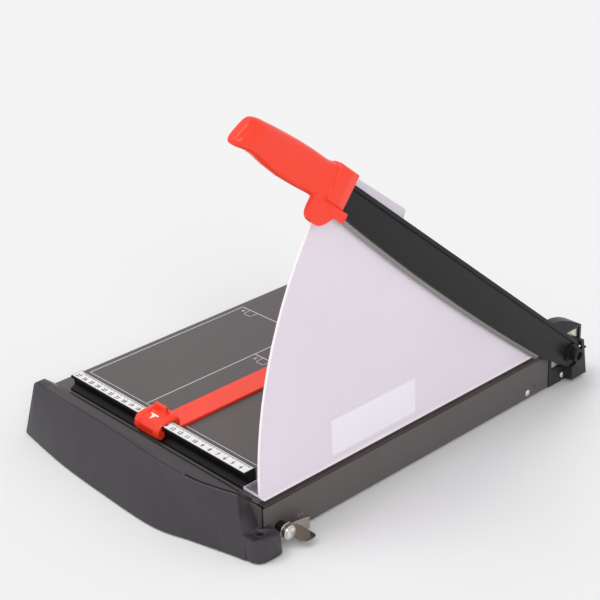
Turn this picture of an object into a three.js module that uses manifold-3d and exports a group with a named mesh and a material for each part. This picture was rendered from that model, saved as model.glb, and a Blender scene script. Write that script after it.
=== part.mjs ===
import * as THREE from 'three'
import { mergeVertices } from 'three/addons/utils/BufferGeometryUtils.js'
import Module from 'manifold-3d'

// Guillotine paper cutter for A4 sheets, in millimetres.
// X runs towards the cutting side, Y away from the user, Z up.
// The cut line is X = 0, the near edge of the bed is Y = 0 and the top of the bed is Z = 0.
// At the end the whole cutter is moved so that its own origin is the middle of its footprint.

// Overall sizes
const boardWidth = 300
const boardLength = 368
const boardHeight = 38
const sheet = 1.2
const seatGap = 0.3
const bedStart = 1.6
const bendRadius = 2.5
const hemRadius = 1
const sideInset = 0.8
const overrun = 5

// Lower blade, a bar let into a joggle of the bed along the cut line
const lowerBladeWidth = 8
const lowerBladeThickness = 3
const lowerBladeRelief = 1.5
const lowerBladeEndGap = 2

// Far end plate, folded in below to carry the rubber feet
const endLip = 22
const endPlateSideGap = 0.2

// Front end cap, a hollow moulding open below
const capReach = 46
const capBottom = 38.6
const capRim = 8.3
const capRound = 1.5
const capLap = 3.7
const capLand = 6.3
const capWall = 2.5
const capEnd = 18
const tongueLength = 22
const tongueThickness = 3
const tongueInset = 4
const capEndFlare = 21
const capBottomShares = [[0, 0.72], [0.227, 0.91], [0.447, 0.985], [0.693, 1], [0.83, 0.78], [0.904, 0.655],
  [0.96, 0.56], [1.01, 0.49]]
const capTopShares = [[0, 0.4], [0.237, 0.413], [0.445, 0.446], [0.69, 0.5], [0.8, 0.49], [0.94, 0.26]]
const lipStartShare = 0.75
const lipWidth = 1.5
const lipGroove = 2.2
const lipDepth = 2.4
const capEdgeSteps = 44

// Foot pad at the near right corner, part of the end cap
const padTop = 20
const padLeft = 8
const padReachX = 16.3
const padReachY = 18.8
const padBack = 6.5
const padFlareX = 0.9
const padFlareY = 2.8
const padRound = 13
const padRoundBack = 6
const padBossRadius = 6.5
const padBossX = 3.7
const padBossY = -6.8
const padRecess = 1.6
const recessTop = 0.3

// Rubber feet
const footHeight = 2
const footRadius = 7
const footInsetX = 16
const footNearY = -13
const footFarInset = 12
const footFarRightX = -24

// Paper stop with its scale strip
const rulerLeft = 276.5
const rulerRight = 30.4
const rulerNear = 8
const rulerFar = 21
const rulerHeight = 15
const rulerTopPlate = 2.5
const rulerGrooveDepth = 3
const rulerFootReach = 1.8
const rulerFootHeight = 2.2
const rulerFootRise = 2.6
const scaleThickness = 0.3
const scaleMargin = 1.2
const rulerScrewShares = [0.08, 0.5, 0.92]
const smallScrewShank = 1.5
const smallScrewHead = 3
const smallScrewHeadHeight = 1.8
const screwPlay = 0.2
const rulerScrewDepth = 8

// Clear acrylic hand guard
const guardThickness = 2.5
const guardFace = 3.5
const guardFlange = 26.5
const guardNear = 1.3
const guardNearRound = 9
const flangeNear = 6
const guardFarInset = 19
const guardLift = 1.5
const guardLowReach = 3.8
const guardHighReach = 12.8
const guardLowDegrees = 4.2
const guardHighDegrees = 42.9
const guardCornerDrop = 83
const guardCornerDegrees = 44.4
const guardCornerRound = 3
const guardBackDrop = 91
const guardBackDegrees = 40.4
const guardArcSteps = 16
const spacerMargin = 2.5
const spacerNearStart = 8
const spacerLength = 14
const guardScrewShank = 1.8
const guardScrewHead = 3.5
const guardScrewDepth = 6

// Pivot of the cutting arm
const pivotPastBoard = 23.5
const pivotY = boardLength + pivotPastBoard
const pivotZ = -6.5
const restAngle = 40
const boltRadius = 4
const boltPlay = 0.08
const hexFlats = 13
const boltHeadHeight = 5.5
const nutHeight = 6.5
const boltEnd = 15.2
const boltDimpleRadius = 1.8
const boltDimpleDepth = 1.5
const outerWasherRadius = 9.4
const outerWasherThickness = 1.8
const springWasherRadius = 7.8
const springWasherThickness = 1.2
const springWasherCone = 0.8
const innerWasherRadius = 11
const bushingWall = 1.4

// Zinc plated bracket that carries the pivot bolt
const bracketThickness = 3
const bracketLap = 28
const bracketPast = 22.8
const bracketTop = 10.2
const bracketBottom = 34.5
const bracketInnerTop = 5
const bracketGap = 1
const bracketRound = 3

// Moulded pivot housing
const housingGap = 0.5
const housingPast = 24.8
const housingDepth = 20
const housingTopShares = [
  [0, 0.6], [0.14, 0.92], [0.35, 1], [0.53, 0.975], [0.66, 0.915], [0.8, 0.82], [1, 0.6]]
const housingTop = 21
const housingChamferDepth = 12
const housingFrontTop = 13.5
const housingBottom = 38.5
const windowBottom = 21.4
const windowTop = 10.8
const windowMargin = 2.8
const windowNearMargin = 3.4
const blockReach = 9.5
const blockLead = 0.5
const blockPastTop = 17.5
const blockPastBottom = 23.2
const blockTop = 2
const blockBottom = 36.2
const blockCut = 15.2
const boltPocketRadius = 8.8
const boltPocketDepth = 8

// Cutting arm, measured along the arm from the pivot (u) and up across it (w)
const armNearGap = 4.5
const armTop = 13.1
const armBack = 2.8
const armFront = 7.2
const armRootBack = 0.6
const armTail = 14.2
const armRibReach = 1.2
const armRibHeight = 3.5
const armGrooveHeight = 1.2
const armGrooveDepth = 1
const armEdgeAbove = 4
const armChamferHeight = 7
const armChamferFoot = 1.5
const armRootLength = 36
const armChamferRun = 60
const armNeck = 26
const armNeckDepth = 18
const armRootDepth = 19
const tangLength = 66
const tangHalfHeight = 9
const stopPinU = -6.3
const stopPinW = 9.9
const stopPinRadius = 1.2
const stopPinReach = 9.6

// Upper blade, ground on its outer side along a bowed edge
const bladeInner = 0.4
const bladeThickness = 2.1
const bladeStart = 40
const bladeBelly = 25
const bladeBellyShare = 0.388
const bladeRise = 8.3
const bladeRiseShare = 0.974
const bladeBevel = 3
const bladeLand = 0.2
const bladeTop = 2
const bladeSteps = 14
const bladeScrewShares = [0.07, 0.36, 0.65, 0.93]
const bladeScrewW = -6
const bladeScrewHead = 3.2
const bladeScrewHeadHeight = 1.2
const bladeScrewDepth = 3.4

// Moulded handle, with stations given as shares of its length, height and thickness
const handleLength = 129
const handleHeight = 36
const handleThickness = 22
const handleAxisX = 3
const gripSides = 20
const gripSquareness = 2.8
const gripShares = [
  [0.108, 0.585, -0.333, -0.3, 0.46, 0], [0.165, 0.56, -0.335, -0.42, 0.42, 0],
  [0.273, 0.505, -0.345, -0.48, 0.38, 0], [0.417, 0.51, -0.378, -0.5, 0.365, 0],
  [0.56, 0.49, -0.395, -0.5, 0.375, 0], [0.705, 0.45, -0.367, -0.48, 0.41, 0.02],
  [0.813, 0.414, -0.318, -0.46, 0.455, 0.08], [0.885, 0.385, -0.326, -0.43, 0.48, 0.18],
  [0.94, 0.368, -0.37, -0.38, 0.46, 0.28], [0.975, 0.345, -0.375, -0.3, 0.38, 0.33],
  [1, 0.3, -0.34, -0.18, 0.22, 0.33]]
const collarLength = 24
const collarTop = 21
const collarBottom = 9.5
const collarInner = -2.5
const collarOuter = 13
const collarRound = 4
const collarFlare = 2.5
const lobeStart = 2.5
const lobeLength = 30
const lobeDepth = 30
const lobeSlope = 10
const lobeInner = 2.5
const lobeOuter = 8
const lobeRound = 10
const lobeNearRound = 5
const tabLead = 10.5
const tabEnd = 6
const tabTop = 9
const tabDepth = 18.5
const tabInner = 7.5
const tabOuter = 8.5
const catchTop = 17.3
const handleScrewShares = [0.16, 0.38]
const handleScrewHead = 3.4
const handleScrewSink = 2
const handleScrewDepth = 2.5

// Back gauge that slides along the paper stop
const gaugeRest = -155.8
const gaugeHalfWidth = 17.3
const cheekWidth = 7.3
const cheekCrest = 4
const cheekInset = 1
const cheekNear = 1.6
const cheekTop = 20
const cheekShoulder = 16.9
const cheekShares = [
  [1, 0], [1, 0.64], [0.967, 0.87], [0.89, 0.975], [0.74, 1], [0.61, 0.98], [0.387, 0.885],
  [0.216, 0.815], [0.108, 0.7], [0.037, 0.54], [0, 0.31], [0.005, 0.13], [0.1, 0]]
const shoulderShares = [[0, 0], [0.5, 0.33], [0.8, 0.7], [1, 1]]
const gaugeWall = 4
const gaugePlay = 0.6
const saddleTop = 17.4
const saddleFrontTop = 11
const ridgeTop = 26
const ridgeStart = 18.8
const ridgeEnd = 22.8
const ridgeHalf = 8
const ridgeRound = 1.4
const saddleBackTop = 20
const gaugeFar = 28.5
const gaugeBottom = 3.3
const gaugeLipReach = 2.6
const gaugeLipTop = 10.6
const gaugeLipBottom = 5
const gaugeSpringRoom = 0.7
const gaugeSpringThickness = 0.3
const gaugeSpringHalf = 14
const gaugeSpringWidth = 8
const gaugeSpringRest = 0.1
const fenceWidth = 27
const fenceOffset = -3.45
const fenceStart = 22
const fenceEnd = 205
const fenceBottom = 0.4
const fenceTop = 3
const fenceRound = 3
const gaugeRivetY = 25
const gaugeRivetSpacing = 13
const gaugeRivetHeight = 6

// Swivel latch on the cutting side
const latchY = 18
const latchZ = -27
const latchBossRadius = 5.5
const latchBossLength = 8.8
const latchWasherRadius = 8
const latchWasherThickness = 1.6
const latchSheet = 1.2
const latchHub = 7
const latchReach = 23
const latchDrop = 7.5
const latchRise = 4.5
const latchTabStart = 5
const latchTabEnd = 19.5
const latchTabReach = 13.5
const latchTabRound = 5
const latchLip = 1.2
const latchScrewShank = 2.6
const latchScrewHead = 5
const latchScrewHeadHeight = 2.4
const latchScrewSlot = 1.2
const latchOuterRadius = 6.3
const latchOuterThickness = 1.2
const latchNutHeight = 3.5
const latchNutFlats = 8

// Screws and rivets in the right side of the bed
const sideScrewInset = 31
const sideScrewZ = -32
const housingScrewLead = 2.9
const housingScrewZ = -32
const sideHead = 3.3
const sideHeadHeight = 1.7
const sideScrewDepth = 6
const sideHoleInset = 20
const sideHoleZ = -29
const sideHoleRadius = 1.2
const rivetYs = [39.5, 43.5]
const rivetZ = -27
const rivetRadius = 1
const rivetHead = 0.4
const stopScrewX = 7
const stopScrewZ = -9
const stopScrewRadius = 1.2
const stopScrewNear = 16.1
const stopScrewFar = 23.8

// Facets of round pieces
const fineSides = 40
const coarseSides = 20
const cornerSteps = 4

const wasm = await Module()
wasm.setup()

// Finishes
function finish(color, roughness, metalness) {
  return new THREE.MeshStandardMaterial({ color, roughness, metalness })
}
const greyPaint = finish(0x6b6664, 0.5, 0.2)
const blackPaint = finish(0x35333a, 0.4, 0.3)
const blackPlastic = finish(0x4a484c, 0.45, 0)
const redPlastic = finish(0xf8492b, 0.3, 0)
const whiteLabel = finish(0xe8e8e4, 0.6, 0)
const steel = finish(0xb8bcc2, 0.25, 1)
const zinc = finish(0xcfc9b8, 0.35, 0.9)
const nickel = finish(0xcfc8bd, 0.22, 1)
const bronze = finish(0xb08d57, 0.4, 0.9)
const rubber = finish(0x1c1c1e, 0.9, 0)
const acrylic = new THREE.MeshStandardMaterial({
  color: 0xe9e4ee, roughness: 0.25, metalness: 0, opacity: 0.55, transparent: true })

// A closed three.js geometry becomes a solid that can be joined and cut.
function toSolid(geometry) {
  const bare = geometry.clone()
  bare.deleteAttribute('normal')
  bare.deleteAttribute('uv')
  const merged = mergeVertices(bare)
  const vertProperties = new Float32Array(merged.attributes.position.array)
  const triVerts = new Uint32Array(merged.index.array)
  return new wasm.Manifold(new wasm.Mesh({ numProp: 3, vertProperties, triVerts }))
}

// The solid goes back to a mesh with its name and finish, inside its group.
function addPiece(group, name, solid, material) {
  const cut = solid.getMesh()
  const geometry = new THREE.BufferGeometry()
  geometry.setAttribute('position', new THREE.BufferAttribute(new Float32Array(cut.vertProperties), 3))
  geometry.setIndex(new THREE.BufferAttribute(new Uint32Array(cut.triVerts), 1))
  geometry.computeVertexNormals()
  const mesh = new THREE.Mesh(geometry, material)
  mesh.name = name
  group.add(mesh)
}

// An outline whose points may carry a corner radius as their third number.
function outline(points) {
  const shape = new THREE.Shape()
  const last = points.length - 1
  points.forEach(([a, b, radius = 0], i) => {
    const corner = new THREE.Vector2(a, b)
    const before = new THREE.Vector2(...points[i === 0 ? last : i - 1].slice(0, 2)).sub(corner)
    const after = new THREE.Vector2(...points[i === last ? 0 : i + 1].slice(0, 2)).sub(corner)
    const start = corner.clone().add(before.setLength(radius))
    const end = corner.clone().add(after.setLength(radius))
    if (i === 0) shape.moveTo(start.x, start.y)
    else shape.lineTo(start.x, start.y)
    if (radius > 0) shape.quadraticCurveTo(corner.x, corner.y, end.x, end.y)
  })
  shape.closePath()
  return shape
}

// Extrusions of an outline given in (Y, Z), (X, Z) or (X, Y) along the third axis.
function extrude(shape, depth, basis, shift) {
  const options = { depth, bevelEnabled: false, curveSegments: cornerSteps }
  const geometry = new THREE.ExtrudeGeometry(shape, options)
  geometry.applyMatrix4(basis)
  geometry.translate(shift.x, shift.y, shift.z)
  return toSolid(geometry)
}
const alongXBasis = new THREE.Matrix4().makeBasis(
  new THREE.Vector3(0, 1, 0), new THREE.Vector3(0, 0, 1), new THREE.Vector3(1, 0, 0))
const alongYBasis = new THREE.Matrix4().makeBasis(
  new THREE.Vector3(1, 0, 0), new THREE.Vector3(0, 0, 1), new THREE.Vector3(0, -1, 0))
const alongZBasis = new THREE.Matrix4()
function alongX(points, low, high) {
  return extrude(outline(points), high - low, alongXBasis, new THREE.Vector3(low, 0, 0))
}
function alongY(points, low, high) {
  return extrude(outline(points), high - low, alongYBasis, new THREE.Vector3(0, high, 0))
}
function alongZ(points, low, high) {
  return extrude(outline(points), high - low, alongZBasis, new THREE.Vector3(0, 0, low))
}
function block(x, y, z) {
  return alongX([[y[0], z[0]], [y[1], z[0]], [y[1], z[1]], [y[0], z[1]]], x[0], x[1])
}

// Round rods and tubes along X, Y or Z; the place is the axis in the other two directions.
function rod(axis, radius, low, high, place, sides = coarseSides) {
  const geometry = new THREE.CylinderGeometry(radius, radius, high - low, sides)
  const middle = (low + high) / 2
  if (axis === 'x') geometry.rotateZ(-Math.PI / 2).translate(middle, place[0], place[1])
  if (axis === 'y') geometry.translate(place[0], middle, place[1])
  if (axis === 'z') geometry.rotateX(Math.PI / 2).translate(place[0], place[1], middle)
  return toSolid(geometry)
}
function tube(axis, outer, inner, low, high, place, sides = coarseSides) {
  const bore = rod(axis, inner, low - overrun, high + overrun, place, sides)
  return rod(axis, outer, low, high, place, sides).subtract(bore)
}
function hexagon(axis, flats, low, high, place) {
  return rod(axis, flats / Math.sqrt(3), low, high, place, 6)
}

// A loft through outlines with the same number of points, closed at both ends.
function loft(sections, place) {
  const count = sections[0].points.length
  const positions = []
  for (const { at, points } of sections) {
    for (const [a, b] of points) positions.push(...place(a, b, at))
  }
  const index = []
  for (let s = 0; s < sections.length - 1; s++) {
    for (let i = 0; i < count; i++) {
      const a = s * count + i
      const b = s * count + (i + 1) % count
      index.push(a, b, b + count, a, b + count, a + count)
    }
  }
  const flat = points => points.map(p => new THREE.Vector2(...p))
  const capOf = ({ points }) => THREE.ShapeUtils.triangulateShape(flat(points), [])
  const lastStart = (sections.length - 1) * count
  for (const [a, b, c] of capOf(sections[0])) index.push(a, c, b)
  for (const [a, b, c] of capOf(sections.at(-1))) index.push(lastStart + a, lastStart + b, lastStart + c)
  const geometry = new THREE.BufferGeometry()
  geometry.setAttribute('position', new THREE.Float32BufferAttribute(positions, 3))
  geometry.setIndex(index)
  if (signedVolume(geometry) < 0) {
    geometry.setIndex(index.map((v, i) => (i % 3 === 1 ? index[i + 1] : i % 3 === 2 ? index[i - 1] : v)))
  }
  return toSolid(geometry)
}
function signedVolume(geometry) {
  const { position } = geometry.attributes
  const corner = k => new THREE.Vector3().fromBufferAttribute(position, geometry.index.getX(k))
  let volume = 0
  for (let k = 0; k < geometry.index.count; k += 3) {
    volume += corner(k).dot(corner(k + 1).cross(corner(k + 2)))
  }
  return volume
}

const bed = new THREE.Group()
const bedLeft = -boardWidth
const sideFace = -sideInset
const sideInner = sideFace - sheet
const seatEdge = -lowerBladeWidth

// Places that several pieces share
const armLength = pivotY - armNearGap
const guardFar = boardLength - guardFarInset
const sideScrewY = boardLength - sideScrewInset
const sideHoleY = boardLength - sideHoleInset
const housingScrewY = pivotY - housingScrewLead
const rulerMiddle = (rulerNear + rulerFar) / 2
const rulerScrewXs = rulerScrewShares.map(s => -rulerLeft + s * (rulerLeft - rulerRight))
const flangeLeft = -guardFace - guardFlange
const guardScrewX = (flangeLeft - guardFace) / 2
const spacerFarEnd = guardFar - guardNear
const spacerFarStart = spacerFarEnd - spacerLength - spacerMargin
const guardScrewYs = [spacerNearStart + spacerLength / 2, (spacerFarStart + spacerFarEnd) / 2]
const screwHole = smallScrewShank + screwPlay
const guardHole = guardScrewShank + screwPlay
const rivetHole = rivetRadius + screwPlay

// Bed: one folded steel sheet with a joggle for the lower blade
function bedPlate() {
  const ledge = -lowerBladeThickness
  const plate = alongY([
    [bedLeft, -boardHeight], [bedLeft, 0, bendRadius], [seatEdge, 0], [seatEdge, ledge],
    [sideFace, ledge, hemRadius], [sideFace, -boardHeight], [sideInner, -boardHeight],
    [sideInner, ledge - sheet], [seatEdge - sheet, ledge - sheet], [seatEdge - sheet, -sheet],
    [bedLeft + sheet, -sheet, bendRadius - sheet], [bedLeft + sheet, -boardHeight]], bedStart, boardLength)
  const holes = [
    ...rulerScrewXs.map(x => rod('z', screwHole, -sheet - overrun, overrun, [x, rulerMiddle])),
    ...guardScrewYs.map(y => rod('z', guardHole, -sheet - overrun, overrun, [guardScrewX, y])),
    rod('x', latchScrewShank + screwPlay, sideInner - overrun, sideFace + overrun, [latchY, latchZ]),
    rod('x', screwHole, sideInner - overrun, sideFace + overrun, [sideScrewY, sideScrewZ]),
    rod('x', sideHoleRadius, sideInner - overrun, sideFace + overrun, [sideHoleY, sideHoleZ]),
    ...rivetYs.map(y => rod('x', rivetHole, sideInner - overrun, sideFace + overrun, [y, rivetZ]))]
  return holes.reduce((solid, hole) => solid.subtract(hole), plate)
}
addPiece(bed, 'bed_plate', bedPlate(), greyPaint)

// Lower blade with a relieved vertical face
addPiece(bed, 'lower_blade', alongY([
  [seatEdge, -lowerBladeThickness], [seatEdge, 0], [0, 0], [0, -lowerBladeRelief],
  [sideFace, -lowerBladeThickness]], bedStart, boardLength - lowerBladeEndGap), steel)

// Far end plate, stopping short of the pivot bracket
const bracketBack = sideInner - bracketThickness
const endPlateRight = bracketBack - seatGap
function farEndPlate() {
  const left = bedLeft + sheet + endPlateSideGap
  const top = -sheet - endPlateSideGap
  const step = seatEdge - sheet - endPlateSideGap
  const plate = alongY([
    [left, -boardHeight], [endPlateRight, -boardHeight], [endPlateRight, top - lowerBladeThickness],
    [step, top - lowerBladeThickness], [step, top], [left, top, bendRadius]],
  boardLength - sheet, boardLength)
  return plate.add(block([left, endPlateRight], [boardLength - endLip, boardLength - sheet / 2],
    [-boardHeight, -boardHeight + sheet]))
}
addPiece(bed, 'far_end_plate', farEndPlate(), greyPaint)

// Front cap: flared outer wall, raised rim, slope down to the bed, lap over its edge and tongue below it
function capEdge(shares, end, inset) {
  const curve = new THREE.SplineCurve(shares.map(([x, y]) => new THREE.Vector2(
    bedLeft + x * boardWidth, -y * capReach)))
  return curve.getPoints(capEdgeSteps).map(p => [
    Math.min(Math.max(p.x, bedLeft + inset), end - inset), p.y + inset])
}
function capShell(inset) {
  const back = inset > 0 ? -inset : capLap
  const closeBack = (line, end) => [...line, [end - inset, back], [bedLeft + inset, back]]
  const low = -capBottom - (inset > 0 ? overrun : 0)
  const lowEnd = capEndFlare - capEnd
  const bottomLine = closeBack(capEdge(capBottomShares, lowEnd, inset), lowEnd)
  const topEdge = capEdge(capTopShares, -capEnd, inset)
  const walls = loft([
    { at: low, points: bottomLine },
    ...(inset > 0 ? [{ at: -capBottom, points: bottomLine }] : []),
    { at: capRim - capRound - inset, points: closeBack(topEdge, -capEnd) },
    { at: capRim - inset, points: closeBack(topEdge.map(([x, y]) => [x, y + capRound]), -capEnd) }],
  (x, y, z) => [x, y, z])
  const rise = capRim / (capLap + capLand)
  const drop = inset * Math.hypot(1, rise)
  const roof = alongX([
    [-capReach - overrun, low - overrun], [back, low - overrun], [back, (capLap - back) * rise - drop],
    [capLap - (capRim - inset + drop) / rise, capRim - inset], [-capReach - overrun, capRim - inset]],
  bedLeft - overrun, capEndFlare)
  return walls.intersect(roof)
}
const bossBottom = -capBottom
function padRing(inset, flare) {
  const right = padReachX + flare * padFlareX - inset
  const near = -padReachY - flare * padFlareY + inset
  const far = padBack + flare * padFlareX - inset
  return outline([
    [-padLeft, near], [right, near, padRound], [right, far, padRoundBack], [sideFace + seatGap, far],
    [sideFace + seatGap, 0], [-padLeft, 0]]).extractPoints(cornerSteps).shape.map(p => [p.x, p.y])
}
function padSolid(inset) {
  const low = bossBottom - (inset > 0 ? overrun : 0)
  return loft([
    { at: low, points: padRing(inset, 1) },
    { at: -padTop - inset, points: padRing(inset, 0) }], (x, y, z) => [x, y, z])
}
function lipCut() {
  const line = capEdge(capTopShares, -capEnd, 0).filter(([x], i, all) => (
    x > bedLeft * (1 - lipStartShare) && all[i - 1][0] < -capEnd))
  const front = line.map(([x, y]) => [x, y + capRound + lipWidth])
  const back = line.map(([x, y]) => [x, y + capRound + lipWidth + lipGroove]).reverse()
  return alongZ([...front, ...back], capRim - lipDepth, capRim + overrun)
}
function frontCap() {
  const tongue = block([bedLeft + tongueInset, flangeLeft - tongueInset],
    [-capWall, tongueLength], [-sheet - tongueThickness, -sheet])
  const recessWall = block([-capEnd - capWall, sideFace], [-capWall, 0], [-capBottom, -recessTop])
  const bosses = [
    rod('z', padBossRadius, bossBottom, -padTop - padRecess / 2, [padBossX, padBossY]),
    rod('z', padBossRadius, bossBottom, capRim, [bedLeft + footInsetX, footNearY]).intersect(capShell(0))]
  const lapCut = block([bedLeft - overrun, capEndFlare], [0, capLap + overrun], [-capBottom - overrun, 0])
  const shell = capShell(0).subtract(capShell(capWall)).subtract(lapCut)
  const pad = padSolid(0).subtract(padSolid(capWall).intersect(
    block([-capEnd, padReachX + padFlareX], [-capReach, -capWall], [-capBottom - 2 * overrun, 0])))
  const padScrew = [padBossX, padBossY]
  const recess = rod('z', smallScrewHead + 2 * screwPlay, -padTop - padRecess, overrun - padTop, padScrew)
  const padBore = rod('z', screwHole, bossBottom - overrun, overrun - padTop, padScrew)
  const rulerBores = rulerScrewXs.map(x =>
    rod('z', screwHole, -sheet - tongueThickness - overrun, overrun, [x, rulerMiddle]))
  const joined = [tongue, recessWall, pad, ...bosses].reduce((solid, piece) => solid.add(piece), shell)
  return [recess, padBore, lipCut(), ...rulerBores].reduce((solid, hole) => solid.subtract(hole), joined)
}
addPiece(bed, 'front_cap', frontCap(), blackPlastic)

// Rubber feet, the one under the pad held by a screw from above
const footPlaces = {
  foot_near_left: [bedLeft + footInsetX, footNearY, -capBottom],
  foot_near_right: [padBossX, padBossY, -capBottom],
  foot_far_left: [bedLeft + footInsetX, boardLength - footFarInset, -boardHeight],
  foot_far_right: [footFarRightX, boardLength - footFarInset, -boardHeight]
}
const ground = -boardHeight - footHeight
for (const [name, [x, y, top]] of Object.entries(footPlaces)) {
  const bore = rod('z', screwHole, ground + footHeight / 4, overrun + top, [x, y])
  const foot = rod('z', footRadius, ground, top, [x, y], fineSides)
  addPiece(bed, name, name === 'foot_near_right' ? foot.subtract(bore) : foot, rubber)
}
function screwZ(x, y, seat, end, headUp, shank, head, headHeight) {
  const side = headUp ? 1 : -1
  const [low, high] = [seat, seat + side * headHeight].sort((a, b) => a - b)
  const cap = rod('z', head, low, high, [x, y])
  return cap.add(rod('z', shank, Math.min(end, low), Math.max(end, high), [x, y]))
}
addPiece(bed, 'foot_pad_screw', screwZ(padBossX, padBossY, -padTop - padRecess, ground + footHeight / 2,
  true, smallScrewShank, smallScrewHead, padRecess / 2), blackPaint)

// Paper stop: a black extrusion with an undercut near side, its scale strip and its screws from below
function rulerBar() {
  const plateUnder = rulerHeight - rulerTopPlate
  const grooveTop = plateUnder - rulerGrooveDepth / 2
  const grooveBack = rulerNear + rulerGrooveDepth
  const bar = alongX([
    [rulerFar, 0], [rulerFar, rulerHeight], [rulerNear, rulerHeight], [rulerNear, plateUnder],
    [grooveBack, grooveTop], [grooveBack, rulerFootHeight + rulerFootRise],
    [rulerNear - rulerFootReach, rulerFootHeight], [rulerNear - rulerFootReach, 0]], -rulerLeft, -rulerRight)
  return rulerScrewXs.reduce((solid, x) => solid.subtract(
    rod('z', smallScrewShank + screwPlay / 2, -overrun, rulerScrewDepth + screwPlay, [x, rulerMiddle])), bar)
}
addPiece(bed, 'ruler_bar', rulerBar(), blackPaint)
addPiece(bed, 'ruler_scale', block([-rulerLeft + scaleMargin, -rulerRight - scaleMargin],
  [rulerNear + scaleMargin, rulerFar - scaleMargin],
  [rulerHeight, rulerHeight + scaleThickness]), whiteLabel)
rulerScrewXs.forEach((x, i) => {
  addPiece(bed, `ruler_screw_${i + 1}`, screwZ(x, rulerMiddle, -sheet - tongueThickness, rulerScrewDepth,
    false, smallScrewShank, smallScrewHead, smallScrewHeadHeight), zinc)
})

// Hand guard: a flange over the bed edge and a tall sheet bounded by an arc about the pivot
const flangeTop = guardLift + guardThickness
function guardPoint(radius, degrees) {
  const angle = THREE.MathUtils.degToRad(degrees)
  return [pivotY - radius * Math.cos(angle), pivotZ + radius * Math.sin(angle)]
}
function guardShield() {
  const arc = Array.from({ length: guardArcSteps + 1 }, (_, i) => guardPoint(
    THREE.MathUtils.lerp(armLength + guardLowReach, armLength + guardHighReach, i / guardArcSteps),
    THREE.MathUtils.lerp(guardLowDegrees, guardHighDegrees, i / guardArcSteps)))
  const corner = guardPoint(armLength - guardCornerDrop, guardCornerDegrees)
  const back = guardPoint(armLength - guardBackDrop, guardBackDegrees)
  const upright = alongX([
    [guardFar, guardLift], [guardFar, flangeTop], [...back, guardCornerRound], [...corner, guardCornerRound],
    ...arc.reverse(), [guardNear, guardLift, guardNearRound]],
  -guardFace - guardThickness, -guardFace)
  const flange = block([flangeLeft, -guardFace], [flangeNear, guardFar], [guardLift, flangeTop])
  return guardScrewYs.reduce((solid, y) => solid.subtract(
    rod('z', guardHole, -overrun, flangeTop + overrun, [guardScrewX, y])), upright.add(flange))
}
addPiece(bed, 'guard_shield', guardShield(), acrylic)
const spacerSpans = {
  guard_spacer_near: [spacerNearStart, spacerNearStart + spacerLength],
  guard_spacer_far: [spacerFarStart, spacerFarEnd]
}
Object.entries(spacerSpans).forEach(([name, span], i) => {
  const plate = block([flangeLeft + spacerMargin, seatEdge - spacerMargin / 2], span, [0, guardLift])
  const hole = rod('z', guardHole, -overrun, overrun, [guardScrewX, guardScrewYs[i]])
  addPiece(bed, name, plate.subtract(hole), blackPlastic)
})
guardScrewYs.forEach((y, i) => {
  addPiece(bed, ['guard_screw_near', 'guard_screw_far'][i], screwZ(guardScrewX, y, flangeTop,
    -guardScrewDepth, true, guardScrewShank, guardScrewHead, smallScrewHeadHeight), nickel)
})

// Pivot bracket: a plated steel plate inside the bed that rises behind the arm
const pivot = [pivotY, pivotZ]
const bracketFar = pivotY + bracketPast
const bracketRise = boardLength + bracketGap
const sideScrews = [[sideScrewY, sideScrewZ], [housingScrewY, housingScrewZ]]
function pivotBracket() {
  const plate = alongX([
    [boardLength - bracketLap, -bracketBottom], [bracketFar, -bracketBottom],
    [bracketFar, bracketTop, bracketRound], [bracketRise, bracketTop, bracketRound],
    [bracketRise, -bracketInnerTop], [boardLength - bracketLap, -bracketInnerTop]],
  bracketBack, sideInner)
  const bore = rod('x', boltRadius + boltPlay, bracketBack - overrun, overrun, pivot, fineSides)
  return sideScrews.reduce((solid, place) => solid.subtract(
    rod('x', screwHole, bracketBack - overrun, overrun, place)), plate.subtract(bore))
}
addPiece(bed, 'pivot_bracket', pivotBracket(), zinc)

// Pivot housing: a domed moulding behind the arm, open before the bracket, with a block round the arm's end
const housingNear = boardLength + housingGap
const housingFar = pivotY + housingPast
const stopSpan = [pivotY + stopScrewNear, pivotY + stopScrewFar]
function pivotHousing() {
  const span = housingFar - housingNear
  const dome = housingTopShares.map(([y, z]) => [housingNear + y * span, z * housingTop])
  const foot = [[housingNear, -housingBottom], [housingFar, -housingBottom]]
  const body = alongX([...dome.reverse(), ...foot], -housingDepth, 0)
  const chamfer = alongY([
    [-housingChamferDepth, housingTop + hemRadius], [overrun, housingFrontTop - hemRadius - overrun / 2],
    [overrun, housingTop + overrun], [-housingChamferDepth, housingTop + overrun]],
  housingNear - overrun, housingFar + overrun)
  const slot = block([bracketBack - seatGap, sideInner + seatGap],
    [housingNear - overrun, bracketFar + seatGap],
    [-bracketBottom - seatGap, bracketTop + seatGap])
  const window = block([sideInner, overrun], [housingNear + windowNearMargin, housingFar - windowMargin],
    [-windowBottom, windowTop])
  const endBlock = alongX([
    [pivotY + blockLead, -blockBottom], [pivotY + blockPastBottom, -blockBottom],
    [pivotY + blockPastTop, blockTop], [pivotY + blockLead, blockTop]], sideInner + seatGap, blockReach)
  const sweep = rod('x', blockCut, sideInner, blockReach + overrun, pivot, fineSides)
  const pocket = rod('x', boltPocketRadius, bracketBack - boltPocketDepth, bracketBack, pivot)
  const bore = rod('x', screwHole, bracketBack - sideScrewDepth, overrun / 2, [housingScrewY, housingScrewZ])
  const stopBore = rod('y', stopScrewRadius + screwPlay, stopSpan[0] - screwPlay, stopSpan[1],
    [stopScrewX, stopScrewZ])
  const shell = body.subtract(chamfer).subtract(slot).subtract(window)
  const joined = shell.add(endBlock.subtract(sweep))
  return [pocket, bore, stopBore].reduce((solid, cut) => solid.subtract(cut), joined)
}
addPiece(bed, 'pivot_housing', pivotHousing(), blackPlastic)
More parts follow.
